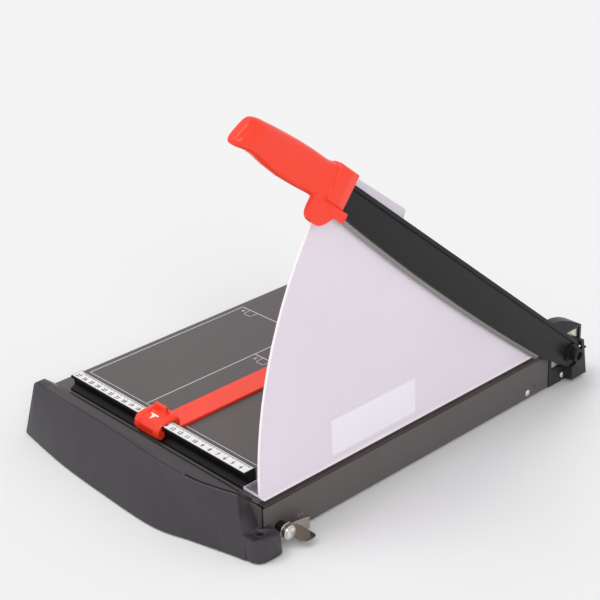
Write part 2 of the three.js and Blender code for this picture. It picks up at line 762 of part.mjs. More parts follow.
addPiece(bed, 'stop_screw', rod('y', stopScrewRadius, ...stopSpan, [stopScrewX, stopScrewZ]), blackPaint)

// Pivot bolt, washers and nut
const outerWasherStart = armFront + seatGap
const springWasherStart = outerWasherStart + outerWasherThickness
const nutStart = springWasherStart + springWasherThickness + springWasherCone
function pivotBolt() {
  const head = hexagon('x', hexFlats, bracketBack - boltHeadHeight, bracketBack, pivot)
  const shank = rod('x', boltRadius, bracketBack - boltHeadHeight, boltEnd, pivot, fineSides)
  const dimple = rod('x', boltDimpleRadius, boltEnd - boltDimpleDepth, boltEnd + overrun, pivot)
  return head.add(shank).subtract(dimple)
}
addPiece(bed, 'pivot_bolt', pivotBolt(), blackPaint)
addPiece(bed, 'pivot_inner_washer', tube('x', innerWasherRadius, boltRadius + boltPlay, sideInner,
  armRootBack - seatGap, pivot, fineSides), bronze)
addPiece(bed, 'pivot_outer_washer', tube('x', outerWasherRadius, boltRadius + boltPlay, outerWasherStart,
  springWasherStart, pivot, fineSides), blackPaint)
function springWasher() {
  const inner = boltRadius + boltPlay
  const profile = [
    [inner, springWasherCone], [springWasherRadius, 0], [springWasherRadius, springWasherThickness],
    [inner, springWasherThickness + springWasherCone], [inner, springWasherCone]]
  const geometry = new THREE.LatheGeometry(profile.map(p => new THREE.Vector2(...p)), fineSides)
  geometry.rotateZ(-Math.PI / 2).translate(springWasherStart, pivotY, pivotZ)
  return toSolid(geometry)
}
addPiece(bed, 'pivot_spring_washer', springWasher(), blackPaint)
addPiece(bed, 'pivot_nut', hexagon('x', hexFlats, nutStart, nutStart + nutHeight, pivot).subtract(
  rod('x', boltRadius + boltPlay, nutStart - overrun, boltEnd + overrun, pivot, fineSides)), blackPaint)

// Screws and rivets of the right side
function screwX(seat, end, place, shank, head, headHeight) {
  const cap = rod('x', head, seat, seat + headHeight, place)
  return cap.add(rod('x', shank, end, seat + headHeight, place))
}
addPiece(bed, 'side_screw', screwX(sideFace, bracketBack - hemRadius, [sideScrewY, sideScrewZ],
  smallScrewShank, sideHead, sideHeadHeight), nickel)
addPiece(bed, 'housing_screw', screwX(0, bracketBack - sideScrewDepth + seatGap,
  [housingScrewY, housingScrewZ], smallScrewShank, sideHead, sideHeadHeight), nickel)
rivetYs.forEach((y, i) => {
  addPiece(bed, `edge_rivet_${i + 1}`, screwX(sideFace, sideInner - rivetHead, [y, rivetZ],
    rivetRadius, rivetRadius + 2 * screwPlay, rivetHead), nickel)
})

// Latch mounting: boss, washers, slotted screw and nut
const latchAxis = [latchY, latchZ]
const latchBossEnd = sideFace + latchBossLength
const latchWasherEnd = latchBossEnd + latchWasherThickness
const latchPlateStart = latchWasherEnd + seatGap
const latchPlateEnd = latchPlateStart + latchSheet
const latchOuterStart = latchPlateEnd + seatGap
const latchHeadStart = latchOuterStart + latchOuterThickness
const latchBore = latchScrewShank + boltPlay
addPiece(bed, 'latch_boss', tube('x', latchBossRadius, latchBore, sideFace, latchBossEnd,
  latchAxis), blackPaint)
addPiece(bed, 'latch_washer_inner', tube('x', latchWasherRadius, latchBore, latchBossEnd, latchWasherEnd,
  latchAxis, fineSides), nickel)
addPiece(bed, 'latch_washer_outer', tube('x', latchOuterRadius, latchBore, latchOuterStart, latchHeadStart,
  latchAxis, fineSides), nickel)
addPiece(bed, 'latch_screw', screwX(latchHeadStart, sideInner - latchNutHeight - hemRadius, latchAxis,
  latchScrewShank, latchScrewHead, latchScrewHeadHeight).subtract(
  block([latchHeadStart + latchScrewHeadHeight / 2, latchHeadStart + latchScrewHeadHeight + overrun],
    [latchY - latchScrewHead - overrun, latchY + latchScrewHead + overrun],
    [latchZ - latchScrewSlot / 2, latchZ + latchScrewSlot / 2])), nickel)
const latchNutStart = sideInner - latchNutHeight
addPiece(bed, 'latch_nut', hexagon('x', latchNutFlats, latchNutStart, sideInner, latchAxis).subtract(
  rod('x', latchBore, latchNutStart - overrun, overrun, latchAxis)), nickel)

// Latch plate: a web beside the arm's path with a finger tab folded outwards and a small lip at its end
const latch = new THREE.Group()
latch.position.set(0, latchY, latchZ)
function latchPlate() {
  const web = alongX([
    [-latchHub, -latchHub, latchHub], [latchTabStart, -latchDrop], [latchReach, -latchDrop],
    [latchReach, latchRise, latchSheet], [latchHub, latchHub, latchSheet], [-latchHub, latchHub, latchHub]],
  latchPlateStart, latchPlateEnd)
  const tab = alongZ([
    [latchPlateStart, latchTabStart], [latchPlateEnd + latchTabReach, latchTabStart, latchTabRound],
    [latchPlateEnd + latchTabReach, latchTabEnd, latchTabRound], [latchPlateStart, latchTabEnd]],
  -latchDrop, -latchDrop + latchSheet)
  const lip = block([latchPlateStart - latchLip, latchPlateEnd], [latchReach - latchSheet, latchReach],
    [-latchDrop, latchRise])
  const bore = rod('x', latchBore, latchPlateStart - overrun, latchPlateEnd + overrun, [0, 0])
  return web.add(tab).add(lip).subtract(bore)
}
addPiece(latch, 'latch_plate', latchPlate(), nickel)

// Cutting arm, built flat with its pivot at the group's origin and its handle towards -Y, then raised
const arm = new THREE.Group()
arm.position.set(0, pivotY, pivotZ)
arm.rotation.x = -THREE.MathUtils.degToRad(restAngle)
function bladeEdge(u) {
  const share = (u / armLength - bladeBellyShare) / (bladeRiseShare - bladeBellyShare)
  return -bladeBelly + bladeRise * share * share
}
function armStations(from, to) {
  return Array.from({ length: bladeSteps + 1 }, (_, i) => from + (to - from) * i / bladeSteps)
}
const bladeScrewUs = bladeScrewShares.map(s => bladeStart + s * (armLength - bladeStart))
const bladeScrewEnd = armBack + bladeScrewDepth
const handleScrewUs = handleScrewShares.map(s => armLength + s * handleLength)
const bushingRadius = boltRadius + boltPlay + bushingWall
function armBody() {
  const from = armRootLength + armEdgeAbove
  const lower = armStations(from, armLength).map(u => [-u, bladeEdge(u) + armEdgeAbove])
  const tang = [
    [-armLength, -tangHalfHeight], [-armLength - tangLength, -tangHalfHeight],
    [-armLength - tangLength, tangHalfHeight], [-armLength, tangHalfHeight], [-armLength, armTop]]
  const neck = [[-armNeck, -armNeckDepth], ...lower]
  const plate = alongX([[0, armTop], [0, -armTail], ...neck, ...tang], armBack, armFront)
  const root = alongX([
    [0, armTop], [0, -armTail], [-armNeck, -armNeckDepth], [-armRootLength, -armRootDepth],
    [-armRootLength, armTop]], armRootBack, armFront)
  const tail = rod('x', armTail, armRootBack, armFront, [0, 0], fineSides)
  const ribBottom = armTop - armRibHeight
  const ribSpan = [armFront - armGrooveDepth, armFront + armRibReach]
  const rib = block(ribSpan, [-armLength, 0], [ribBottom, armTop])
  const groove = block([armFront - armGrooveDepth, armFront + overrun], [-armLength, 0],
    [ribBottom - armGrooveHeight, ribBottom])
  const chamfer = loft(armStations(armRootLength, armLength + overrun).map(u => {
    const foot = bladeEdge(u) + armEdgeAbove
    const share = Math.min((u - armRootLength) / armChamferRun, 1)
    const top = foot + THREE.MathUtils.lerp(-hemRadius, armChamferHeight, share)
    return { at: u, points: [
      [armFront + overrun, top], [armFront, top],
      [THREE.MathUtils.lerp(armFront, armBack + armChamferFoot, share), foot - 2 * hemRadius],
      [armFront + overrun, foot - 2 * hemRadius]] }
  }), (x, w, u) => [x, -u, w])
  const bores = [
    rod('x', bushingRadius + seatGap / 2, -overrun, armFront + overrun, [0, 0], fineSides),
    rod('x', stopPinRadius + screwPlay, -overrun, armFront + overrun, [-stopPinU, stopPinW]),
    ...bladeScrewUs.map(u => rod('x', screwHole, armBack - overrun, bladeScrewEnd, [-u, bladeScrewW])),
    ...handleScrewUs.map(u => rod('x', screwHole, armBack - overrun, armFront + overrun, [-u, 0]))]
  const joined = plate.add(root).add(tail).add(rib)
  return [groove, chamfer, ...bores].reduce((solid, cut) => solid.subtract(cut), joined)
}
addPiece(arm, 'arm', armBody(), blackPaint)
addPiece(arm, 'pivot_bushing', tube('x', bushingRadius, boltRadius + boltPlay, armRootBack, armFront,
  [0, 0], fineSides), bronze)
addPiece(arm, 'arm_stop_pin', rod('x', stopPinRadius, armRootBack + seatGap, stopPinReach,
  [-stopPinU, stopPinW]), nickel)

// Upper blade, ground from its outer face down to an edge at its inner face
function upperBlade() {
  const bladeOuter = bladeInner + bladeThickness
  const section = edge => [
    [bladeInner, edge], [bladeInner + bladeLand, edge], [bladeOuter, edge + bladeBevel],
    [bladeOuter, bladeTop], [bladeInner, bladeTop]]
  const strip = loft(armStations(bladeStart, armLength - seatGap).map(u => (
    { at: u, points: section(bladeEdge(u)) })), (x, w, u) => [x, -u, w])
  const headEnd = bladeInner + bladeScrewHeadHeight + screwPlay
  return bladeScrewUs.reduce((solid, u) => solid
    .subtract(rod('x', bladeScrewHead + screwPlay, -overrun, headEnd, [-u, bladeScrewW]))
    .subtract(rod('x', screwHole, -overrun, armBack + overrun, [-u, bladeScrewW])), strip)
}
addPiece(arm, 'blade', upperBlade(), steel)
bladeScrewUs.forEach((u, i) => {
  const headEnd = bladeInner + bladeScrewHeadHeight
  const head = rod('x', bladeScrewHead, bladeInner + screwPlay / 2, headEnd, [-u, bladeScrewW])
  addPiece(arm, `blade_screw_${i + 1}`, head.add(rod('x', smallScrewShank, bladeInner + screwPlay / 2,
    bladeScrewEnd - screwPlay, [-u, bladeScrewW])), steel)
})

// Handle: a lofted grip, a collar over the arm, a finger lobe below it and a small tab over the arm's face
function gripSection([at, top, bottom, inner, outer, slant]) {
  const high = top * handleHeight
  const low = bottom * handleHeight
  const left = handleAxisX + inner * handleThickness
  const right = handleAxisX + outer * handleThickness
  const points = Array.from({ length: gripSides }, (_, i) => {
    const angle = 2 * Math.PI * i / gripSides
    const squash = v => Math.sign(v) * Math.abs(v) ** (2 / gripSquareness)
    return [(left + right) / 2 + squash(Math.cos(angle)) * (right - left) / 2,
      (low + high) / 2 + squash(Math.sin(angle)) * (high - low) / 2]
  })
  return { at: { u: armLength + at * handleLength, slant }, points }
}
const handleScrewEnd = armFront + seatGap + handleScrewDepth
function handleBody() {
  const grip = loft(gripShares.map(gripSection), (x, w, { u, slant }) => [x, slant * w - u, w])
  const collar = alongY([
    [collarInner, -collarBottom, collarRound / 2], [collarInner, collarTop, collarRound],
    [collarOuter, collarTop, collarRound], [collarOuter, -collarBottom, collarRound / 2]],
  -armLength - collarLength, -armLength)
  const flare = alongZ([
    [collarOuter + hemRadius, -armLength - collarLength / 2 - collarFlare],
    [collarOuter - collarFlare, -armLength + hemRadius], [collarOuter + overrun, -armLength + hemRadius]],
  -collarBottom - overrun, collarTop + overrun)
  const lobeFrom = -armLength - lobeStart
  const lobeTo = lobeFrom - lobeLength
  const lobe = alongX([
    [lobeFrom, 0], [lobeFrom, lobeSlope - lobeDepth, lobeNearRound],
    [lobeFrom - lobeSlope, -lobeDepth, lobeNearRound], [lobeTo, -lobeDepth, lobeRound], [lobeTo, 0]],
  lobeInner, lobeOuter)
  const tabFar = -armLength - tabEnd
  const tabNear = -armLength + tabLead
  const tab = alongX([
    [tabFar, -tabTop], [tabFar, -tabDepth], [tabNear, -tabDepth, hemRadius], [tabNear, -tabTop, hemRadius]],
  tabInner, tabOuter)
  const catchPlate = alongX([
    [tabFar, -catchTop], [tabFar, -tabDepth], [tabNear, -tabDepth, hemRadius], [tabNear, -catchTop]],
  tabInner, latchPlateStart - seatGap)
  const tabRoot = block([lobeInner, tabOuter], [-armLength - collarLength / 2, -armLength],
    [-tabDepth, -collarBottom + collarRound])
  const slot = block([armBack - seatGap, armFront + seatGap],
    [-armLength - tangLength - seatGap, -armLength + overrun],
    [-tangHalfHeight - seatGap, tangHalfHeight + seatGap])
  const body = [collar, lobe, tabRoot, tab, catchPlate].reduce((solid, piece) => solid.add(piece), grip)
    .subtract(slot).subtract(flare)
  const sinkEnd = collarInner + handleScrewSink
  return handleScrewUs.reduce((solid, u) => solid
    .subtract(rod('x', handleScrewHead + screwPlay, -handleThickness, sinkEnd, [-u, 0]))
    .subtract(rod('x', screwHole, -handleThickness, handleScrewEnd, [-u, 0])), body)
}
addPiece(arm, 'handle', handleBody(), redPlastic)
handleScrewUs.forEach((u, i) => {
  const seat = collarInner + handleScrewSink
  const head = rod('x', handleScrewHead, seat - smallScrewHeadHeight, seat, [-u, 0])
  const shank = rod('x', smallScrewShank, seat - smallScrewHeadHeight, handleScrewEnd - screwPlay, [-u, 0])
  addPiece(arm, `handle_screw_${i + 1}`, head.add(shank), nickel)
})

// Back gauge: a saddle with two cheeks that hooks under the paper stop's top plate
const gauge = new THREE.Group()
gauge.position.x = gaugeRest
const gaugeInnerTop = rulerHeight + scaleThickness + gaugeSpringRoom
const gaugeRivetXs = [fenceOffset - gaugeRivetSpacing / 2, fenceOffset + gaugeRivetSpacing / 2]
function cheekRing(share) {
  const near = cheekNear + share * cheekInset
  const far = gaugeFar - share * cheekInset
  const ceiling = THREE.MathUtils.lerp(cheekTop, cheekShoulder, share)
  return cheekShares.map(([y, z]) => [
    THREE.MathUtils.lerp(near, far, y), Math.min(THREE.MathUtils.lerp(gaugeBottom, cheekTop, z), ceiling)])
}
function cheek(side) {
  const crest = gaugeHalfWidth - cheekCrest
  const shoulders = shoulderShares.map(([x, share]) => ({
    at: side * (crest + x * cheekCrest), points: cheekRing(share) }))
  return loft([{ at: side * (gaugeHalfWidth - cheekWidth), points: cheekRing(0) }, ...shoulders],
    (y, z, x) => [x, y, z])
}
function gaugeSlider() {
  const near = rulerNear - gaugePlay
  const front = near - gaugeWall
  const inner = gaugeHalfWidth - cheekWidth
  const saddle = alongX([
    [front, gaugeBottom], [front, saddleFrontTop, hemRadius], [near, saddleTop - hemRadius, hemRadius],
    [rulerMiddle, saddleTop], [ridgeStart, saddleTop + hemRadius], [ridgeEnd, saddleBackTop],
    [gaugeFar, saddleBackTop, gaugeWall], [gaugeFar, gaugeBottom]],
  -inner - hemRadius / 2, inner + hemRadius / 2)
  const ridge = alongX([
    [ridgeStart, saddleTop], [ridgeStart + ridgeRound / 2, ridgeTop, ridgeRound],
    [ridgeEnd, ridgeTop, ridgeRound], [ridgeEnd + ridgeRound / 2, saddleTop]], -ridgeHalf, ridgeHalf)
  const hollow = alongX([
    [rulerFar + gaugePlay, -overrun], [rulerFar + gaugePlay, gaugeInnerTop], [near, gaugeInnerTop],
    [near, gaugeLipTop], [near + gaugeLipReach, gaugeLipTop], [near + gaugeLipReach, gaugeLipBottom],
    [near, gaugeLipBottom - gaugePlay], [near, -overrun]],
  -gaugeHalfWidth - overrun, gaugeHalfWidth + overrun)
  const rivetTop = fenceTop + gaugeRivetHeight + screwPlay
  const bores = gaugeRivetXs.map(x => rod('z', screwHole, 0, rivetTop, [x, gaugeRivetY]))
  const joined = [ridge, cheek(-1), cheek(1)].reduce((solid, piece) => solid.add(piece), saddle)
  return [hollow, ...bores].reduce((solid, cut) => solid.subtract(cut), joined)
}
addPiece(gauge, 'gauge_slider', gaugeSlider(), redPlastic)
const fenceLeft = fenceOffset - fenceWidth / 2
const fenceRight = fenceOffset + fenceWidth / 2
addPiece(gauge, 'gauge_fence', gaugeRivetXs.reduce((solid, x) => solid.subtract(
  rod('z', screwHole, -overrun, overrun + fenceTop, [x, gaugeRivetY])), alongZ([
  [fenceLeft, fenceStart], [fenceRight, fenceStart], [fenceRight, fenceEnd, fenceRound],
  [fenceLeft, fenceEnd, fenceRound]], fenceBottom, fenceTop)), redPlastic)
gaugeRivetXs.forEach((x, i) => {
  addPiece(gauge, `gauge_rivet_${i + 1}`, rod('z', smallScrewShank, fenceBottom + screwPlay,
    fenceTop + gaugeRivetHeight, [x, gaugeRivetY]), nickel)
})
function gaugeSpring() {
  const rest = rulerHeight + scaleThickness + gaugeSpringRest
  const arch = gaugeInnerTop - gaugeSpringRest - gaugeSpringThickness - rest
  const line = Array.from({ length: 2 * cornerSteps + 1 }, (_, i) => {
    const share = i / cornerSteps - 1
    return [share * gaugeSpringHalf, rest + arch * share * share]
  })
  const upper = line.map(([x, z]) => [x, z + gaugeSpringThickness]).reverse()
  return alongY([...line, ...upper], rulerMiddle - gaugeSpringWidth / 2, rulerMiddle + gaugeSpringWidth / 2)
}
addPiece(gauge, 'gauge_leaf_spring', gaugeSpring(), steel)

// The whole cutter, moved so that the origin is the middle of its footprint on the table
const cutter = new THREE.Group()
cutter.add(bed, arm, latch, gauge)
cutter.updateMatrixWorld(true)
const extent = new THREE.Box3().setFromObject(cutter, true)
const middle = extent.getCenter(new THREE.Vector3())
cutter.position.set(-middle.x, -middle.y, -extent.min.z)
cutter.updateMatrixWorld(true)

export default cutter
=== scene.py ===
import math
import bmesh
import bpy
from mathutils import Matrix, Vector
from mathutils.bvhtree import BVHTree


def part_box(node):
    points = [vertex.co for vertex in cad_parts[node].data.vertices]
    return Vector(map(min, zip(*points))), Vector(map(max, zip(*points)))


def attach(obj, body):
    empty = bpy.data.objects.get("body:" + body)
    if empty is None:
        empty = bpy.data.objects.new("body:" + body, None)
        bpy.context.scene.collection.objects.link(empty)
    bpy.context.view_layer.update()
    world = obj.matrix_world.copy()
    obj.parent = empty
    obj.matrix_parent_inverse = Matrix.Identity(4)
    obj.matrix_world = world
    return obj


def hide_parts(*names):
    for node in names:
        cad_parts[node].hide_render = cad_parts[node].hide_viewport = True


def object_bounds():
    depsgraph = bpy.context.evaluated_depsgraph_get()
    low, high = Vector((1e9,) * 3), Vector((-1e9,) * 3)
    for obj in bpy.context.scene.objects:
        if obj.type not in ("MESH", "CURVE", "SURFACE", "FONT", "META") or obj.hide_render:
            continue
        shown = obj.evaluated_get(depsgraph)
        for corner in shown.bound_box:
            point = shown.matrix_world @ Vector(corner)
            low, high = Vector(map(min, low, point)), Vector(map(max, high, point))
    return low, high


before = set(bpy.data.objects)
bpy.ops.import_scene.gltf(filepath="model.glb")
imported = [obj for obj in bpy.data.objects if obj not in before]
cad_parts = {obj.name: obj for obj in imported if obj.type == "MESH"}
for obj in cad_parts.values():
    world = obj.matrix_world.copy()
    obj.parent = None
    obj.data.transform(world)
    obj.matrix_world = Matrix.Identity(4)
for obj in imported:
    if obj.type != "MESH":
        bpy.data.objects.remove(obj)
cad_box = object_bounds()

# Datum of the cutter. Every place below is measured in metres from the cut line (x), the near end
# of the board (y) and the top of the board (z), as on the maker's drawing.
board_length = 0.368
board_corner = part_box("bed_plate")[1]
datum = Vector((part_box("lower_blade")[1].x, board_corner.y - board_length, board_corner.z))


def at(x, y, z):
    return datum + Vector((x, y, z))


# Table, light and camera. A pale table top, a wide soft light from above on the left, a weaker one
# from the front right, an even pale room, and a long lens that looks down on the near right corner.
table_size = 12.0
table_grey = 0.87
table_coolness = 1.004
table_roughness = 0.9
table_shine = 0.1
room_light = 0.74
room_seen = 0.86
key_strength = 0.70
key_softness = math.radians(24)
key_from = Vector((-0.35, -0.30, 1.0))
fill_strength = 0.60
fill_softness = math.radians(18)
fill_from = Vector((0.9, -0.5, 0.6))
camera_place = at(0.7780, -0.6479, 0.6731)
camera_ahead = Vector((-0.67031, 0.60155, -0.43453)).normalized()
camera_up = Vector((-0.29610, 0.32012, 0.89992)).normalized()
sensor_width = 36.0
frame_pixels = 600
focal_pixels = 1489.6
camera_reach = 20

bpy.ops.mesh.primitive_plane_add(size=table_size, location=(0, 0, cad_box[0].z))
table_top = bpy.context.object
table_top.name = "table_top"
table_paint = bpy.data.materials.new("table_paint")
table_paint.use_nodes = True
table_shader = table_paint.node_tree.nodes["Principled BSDF"]
table_shader.inputs["Base Color"].default_value = (table_grey, table_grey, table_grey * table_coolness, 1)
table_shader.inputs["Roughness"].default_value = table_roughness
table_shader.inputs["Specular IOR Level"].default_value = table_shine
table_top.data.materials.append(table_paint)

room = bpy.data.worlds.new("room")
bpy.context.scene.world = room
room.use_nodes = True
room_nodes = room.node_tree.nodes
room_links = room.node_tree.links
room_nodes.clear()
path = room_nodes.new("ShaderNodeLightPath")
seen = room_nodes.new("ShaderNodeMath")
seen.operation = "MAXIMUM"
room_links.new(path.outputs["Is Camera Ray"], seen.inputs[0])
room_links.new(path.outputs["Is Glossy Ray"], seen.inputs[1])
seen_too = room_nodes.new("ShaderNodeMath")
seen_too.operation = "MAXIMUM"
room_links.new(seen.outputs[0], seen_too.inputs[0])
room_links.new(path.outputs["Is Transmission Ray"], seen_too.inputs[1])
level = room_nodes.new("ShaderNodeMapRange")
level.inputs["To Min"].default_value = room_light
level.inputs["To Max"].default_value = room_seen
room_links.new(seen_too.outputs[0], level.inputs["Value"])
room_glow = room_nodes.new("ShaderNodeBackground")
room_glow.inputs["Color"].default_value = (1, 1, 1, 1)
room_links.new(level.outputs["Result"], room_glow.inputs["Strength"])
room_output = room_nodes.new("ShaderNodeOutputWorld")
room_links.new(room_glow.outputs[0], room_output.inputs["Surface"])

for lamp_name, strength, softness, direction in (
        ("key_light", key_strength, key_softness, key_from),
        ("fill_light", fill_strength, fill_softness, fill_from)):
    lamp = bpy.data.objects.new(lamp_name, bpy.data.lights.new(lamp_name, "SUN"))
    lamp.data.energy = strength
    lamp.data.angle = softness
    lamp.rotation_euler = direction.to_track_quat("Z", "Y").to_euler()
    bpy.context.scene.collection.objects.link(lamp)

camera = bpy.data.objects.new("camera", bpy.data.cameras.new("camera"))
camera.data.sensor_width = sensor_width
camera.data.lens = sensor_width * focal_pixels / frame_pixels
camera.data.clip_end = camera_reach
camera_right = camera_ahead.cross(camera_up).normalized()
camera_top = camera_right.cross(camera_ahead)
camera.matrix_world = Matrix.Translation(camera_place) @ Matrix(
    (camera_right, camera_top, -camera_ahead)).transposed().to_4x4()
bpy.context.scene.collection.objects.link(camera)
bpy.context.scene.camera = camera
bpy.context.scene.view_settings.view_transform = "Standard"


# Board. One folded sheet of steel, its long edges bent down, sprayed in warm grey structure paint.
# The paint is satin, with the fine orange peel that a spray gun leaves.
board_edge = 0.0006
board_grey = (94, 88, 88)
structure_grain = 1400.0
crease_angle = math.radians(28)
flat_angle = math.radians(0.6)
usual_edge = 0.0004
weld = 1e-6
patch_low, patch_high = 0.3, 0.7
grain_relief = 0.0002
bare_metal_shine = 0.5


def srgb(*colour):
    """A colour as it is written, turned into the light that a shader works in."""
    shares = [level / 255 for level in colour]
    return [share / 12.92 if share <= 0.04045 else ((share + 0.055) / 1.055) ** 2.4 for share in shares]


def add_node(tree, kind, **values):
    """A node in a tree, with its settings and its inputs given by name."""
    node = tree.nodes.new(kind)
    for name, value in values.items():
        if hasattr(node, name):
            setattr(node, name, value)
        else:
            node.inputs[name.replace("_", " ").title()].default_value = value
    return node


def finish(name, colour, roughness, metallic=0.0, patch=0.06, patch_scale=18.0, rough_patch=0.05,
           grain=0.0, grain_scale=1200.0, stretch=(1, 1, 1), shine=0.3):
    """A surface with soft patches of tone and roughness, and a fine grain in relief."""
    material = bpy.data.materials.new(name)
    material.use_nodes = True
    tree = material.node_tree
    link = tree.links.new
    shader = tree.nodes["Principled BSDF"]
    shader.inputs["Metallic"].default_value = metallic
    shader.inputs["Specular IOR Level"].default_value = bare_metal_shine if metallic else shine
    place = add_node(tree, "ShaderNodeTexCoord")
    turn = add_node(tree, "ShaderNodeMapping")
    turn.inputs["Scale"].default_value = stretch
    link(place.outputs["Object"], turn.inputs["Vector"])
    cloud = add_node(tree, "ShaderNodeTexNoise", Scale=patch_scale, Detail=4.0, Roughness=0.55)
    link(turn.outputs[0], cloud.inputs["Vector"])
    tone = add_node(tree, "ShaderNodeMapRange")
    tone.inputs["From Min"].default_value = patch_low
    tone.inputs["From Max"].default_value = patch_high
    tone.inputs["To Min"].default_value = 1 - patch
    tone.inputs["To Max"].default_value = 1 + patch
    link(cloud.outputs["Fac"], tone.inputs["Value"])
    base = add_node(tree, "ShaderNodeVectorMath", operation="SCALE")
    base.inputs[0].default_value = srgb(*colour)
    link(tone.outputs["Result"], base.inputs["Scale"])
    link(base.outputs[0], shader.inputs["Base Color"])
    gloss = add_node(tree, "ShaderNodeMapRange")
    gloss.inputs["To Min"].default_value = roughness - rough_patch
    gloss.inputs["To Max"].default_value = roughness + rough_patch
    link(cloud.outputs["Fac"], gloss.inputs["Value"])
    link(gloss.outputs["Result"], shader.inputs["Roughness"])
    if grain:
        fine = add_node(tree, "ShaderNodeTexNoise", Scale=grain_scale, Detail=2.0)
        link(turn.outputs[0], fine.inputs["Vector"])
        relief = add_node(tree, "ShaderNodeBump", Strength=grain, Distance=grain_relief)
        link(fine.outputs["Fac"], relief.inputs["Height"])
        link(relief.outputs["Normal"], shader.inputs["Normal"])
    return material


def clean_copy(node, flat=flat_angle):
    """A welded copy of a CAD node's mesh, its flat faces joined up."""
    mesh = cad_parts[node].data.copy()
    shape = bmesh.new()
    shape.from_mesh(mesh)
    bmesh.ops.remove_doubles(shape, verts=shape.verts, dist=weld)
    bmesh.ops.dissolve_limit(shape, angle_limit=flat, verts=shape.verts, edges=shape.edges)
    shape.to_mesh(mesh)
    shape.free()
    mesh.materials.clear()
    return mesh


def settle(piece):
    """Turns the piece with its modifiers into a plain mesh, in its own place."""
    bpy.context.view_layer.update()
    plain = bpy.data.meshes.new_from_object(piece.evaluated_get(bpy.context.evaluated_depsgraph_get()))
    piece.modifiers.clear()
    piece.data = plain
    return piece


def soften_creases(mesh):
    """Smooth shading all over, broken only at the real corners."""
    mesh.polygons.foreach_set("use_smooth", [True] * len(mesh.polygons))
    mesh.set_sharp_from_angle(angle=crease_angle)


def rounded(node, material, body="base", edge=usual_edge, steps=2, cutters=(), flat=flat_angle):
    """The node again, cut by the cutters, its edges rounded first as far as the shortest of them allows."""
    mesh = clean_copy(node, flat)
    mesh.materials.append(material)
    soften_creases(mesh)
    piece = bpy.data.objects.new(node + "_finished", mesh)
    bpy.context.scene.collection.objects.link(piece)
    soften = piece.modifiers.new("rounded edges", "BEVEL")
    soften.width = edge
    soften.segments = steps
    soften.limit_method = "ANGLE"
    soften.angle_limit = crease_angle
    soften.harden_normals = True
    soften.use_clamp_overlap = True
    settle(piece)
    for cutter in cutters:
        groove = piece.modifiers.new("groove", "BOOLEAN")
        groove.operation = "DIFFERENCE"
        groove.solver = "EXACT"
        groove.object = cutter
        settle(piece)
        soften_creases(piece.data)
        bpy.data.objects.remove(cutter)
    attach(piece, body)
    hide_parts(node)
    return piece


grey_paint = finish("grey_structure_paint", board_grey, 0.46, patch=0.03, rough_patch=0.04, grain=0.35,
                    grain_scale=structure_grain)
rounded("bed_plate", grey_paint, edge=board_edge)
rounded("far_end_plate", grey_paint, edge=board_edge / 2)


# Sheet outlines. Pale grey lines screen printed on the board for two common sheet sizes, each with a
# numbered tab at its far left corner. The inner left line runs on for the larger size laid lengthwise.
ink_grey = (214, 211, 213)
ink_sunk = 0.00003
ink_height = 0.00008
line_width = 0.0010
sheet_right = -0.0095
near_line = 0.0395
tab_line = 0.0007
tab_size = (0.0105, 0.0098)
tab_corner = 0.0014
tab_digit = 0.0068
digit_shift = (1.5, 0.6)
outer_sheet = {"left": -0.2918, "ends": 0.2326, "far": 0.2326, "tab": -0.2690, "digit": "4"}
inner_sheet = {"left": -0.2044, "ends": 0.3196, "far": 0.1722, "tab": -0.1815, "digit": "5"}


def new_tree(name, **sizes):
    """A growth tree with its guide, its named sizes and its finish coming in, and one mesh going out."""
    tree = bpy.data.node_groups.new(name, "GeometryNodeTree")
    kinds = {float: "NodeSocketFloat", int: "NodeSocketInt", tuple: "NodeSocketVector"}
    tree.interface.new_socket("guide", in_out="INPUT", socket_type="NodeSocketGeometry")
    for size, usual in sizes.items():
        socket = tree.interface.new_socket(size, in_out="INPUT", socket_type=kinds[type(usual)])
        socket.default_value = usual
    tree.interface.new_socket("finish", in_out="INPUT", socket_type="NodeSocketMaterial")
    tree.interface.new_socket("mesh", in_out="OUTPUT", socket_type="NodeSocketGeometry")
    return tree, tree.nodes.new("NodeGroupInput").outputs


def end_tree(tree, given, grown):
    """The end of a tree: what has grown is made real and takes the finish."""
    real = add_node(tree, "GeometryNodeRealizeInstances")
    dressed = add_node(tree, "GeometryNodeSetMaterial")
    tree.links.new(grown, real.inputs["Geometry"])
    tree.links.new(real.outputs[0], dressed.inputs["Geometry"])
    tree.links.new(given["finish"], dressed.inputs["Material"])
    tree.links.new(dressed.outputs[0], tree.nodes.new("NodeGroupOutput").inputs[0])
    return tree


def worked(tree, operation, *terms):
    """One sum in a tree, of sockets or plain numbers."""
    sum_node = add_node(tree, "ShaderNodeMath", operation=operation)
    for socket, term in zip(sum_node.inputs, terms):
        if isinstance(term, (int, float)):
            socket.default_value = term
        else:
            tree.links.new(term, socket)
    return sum_node.outputs[0]


def across(tree, x=0.0, y=0.0, z=0.0):
    """A vector in a tree, from sockets or plain numbers."""
    joined = add_node(tree, "ShaderNodeCombineXYZ")
    for socket, term in zip(joined.inputs, (x, y, z)):
        if isinstance(term, (int, float)):
            socket.default_value = term
        else:
            tree.links.new(term, socket)
    return joined.outputs[0]


def grow(name, tree, material, points, edges=(), **sizes):
    """The plain mesh that a tree grows on its guide points and edges."""
    guide = bpy.data.meshes.new(name)
    guide.from_pydata(points, edges, [])
    piece = bpy.data.objects.new(name, guide)
    bpy.context.scene.collection.objects.link(piece)
    growth = piece.modifiers.new("growth", "NODES")
    growth.node_group = tree
    sockets = {item.name: item.identifier for item in tree.interface.items_tree if item.in_out == "INPUT"}
    for size, value in dict(sizes, finish=material).items():
        growth[sockets[size]] = value
    settle(piece)
    soften_creases(piece.data)
    return piece


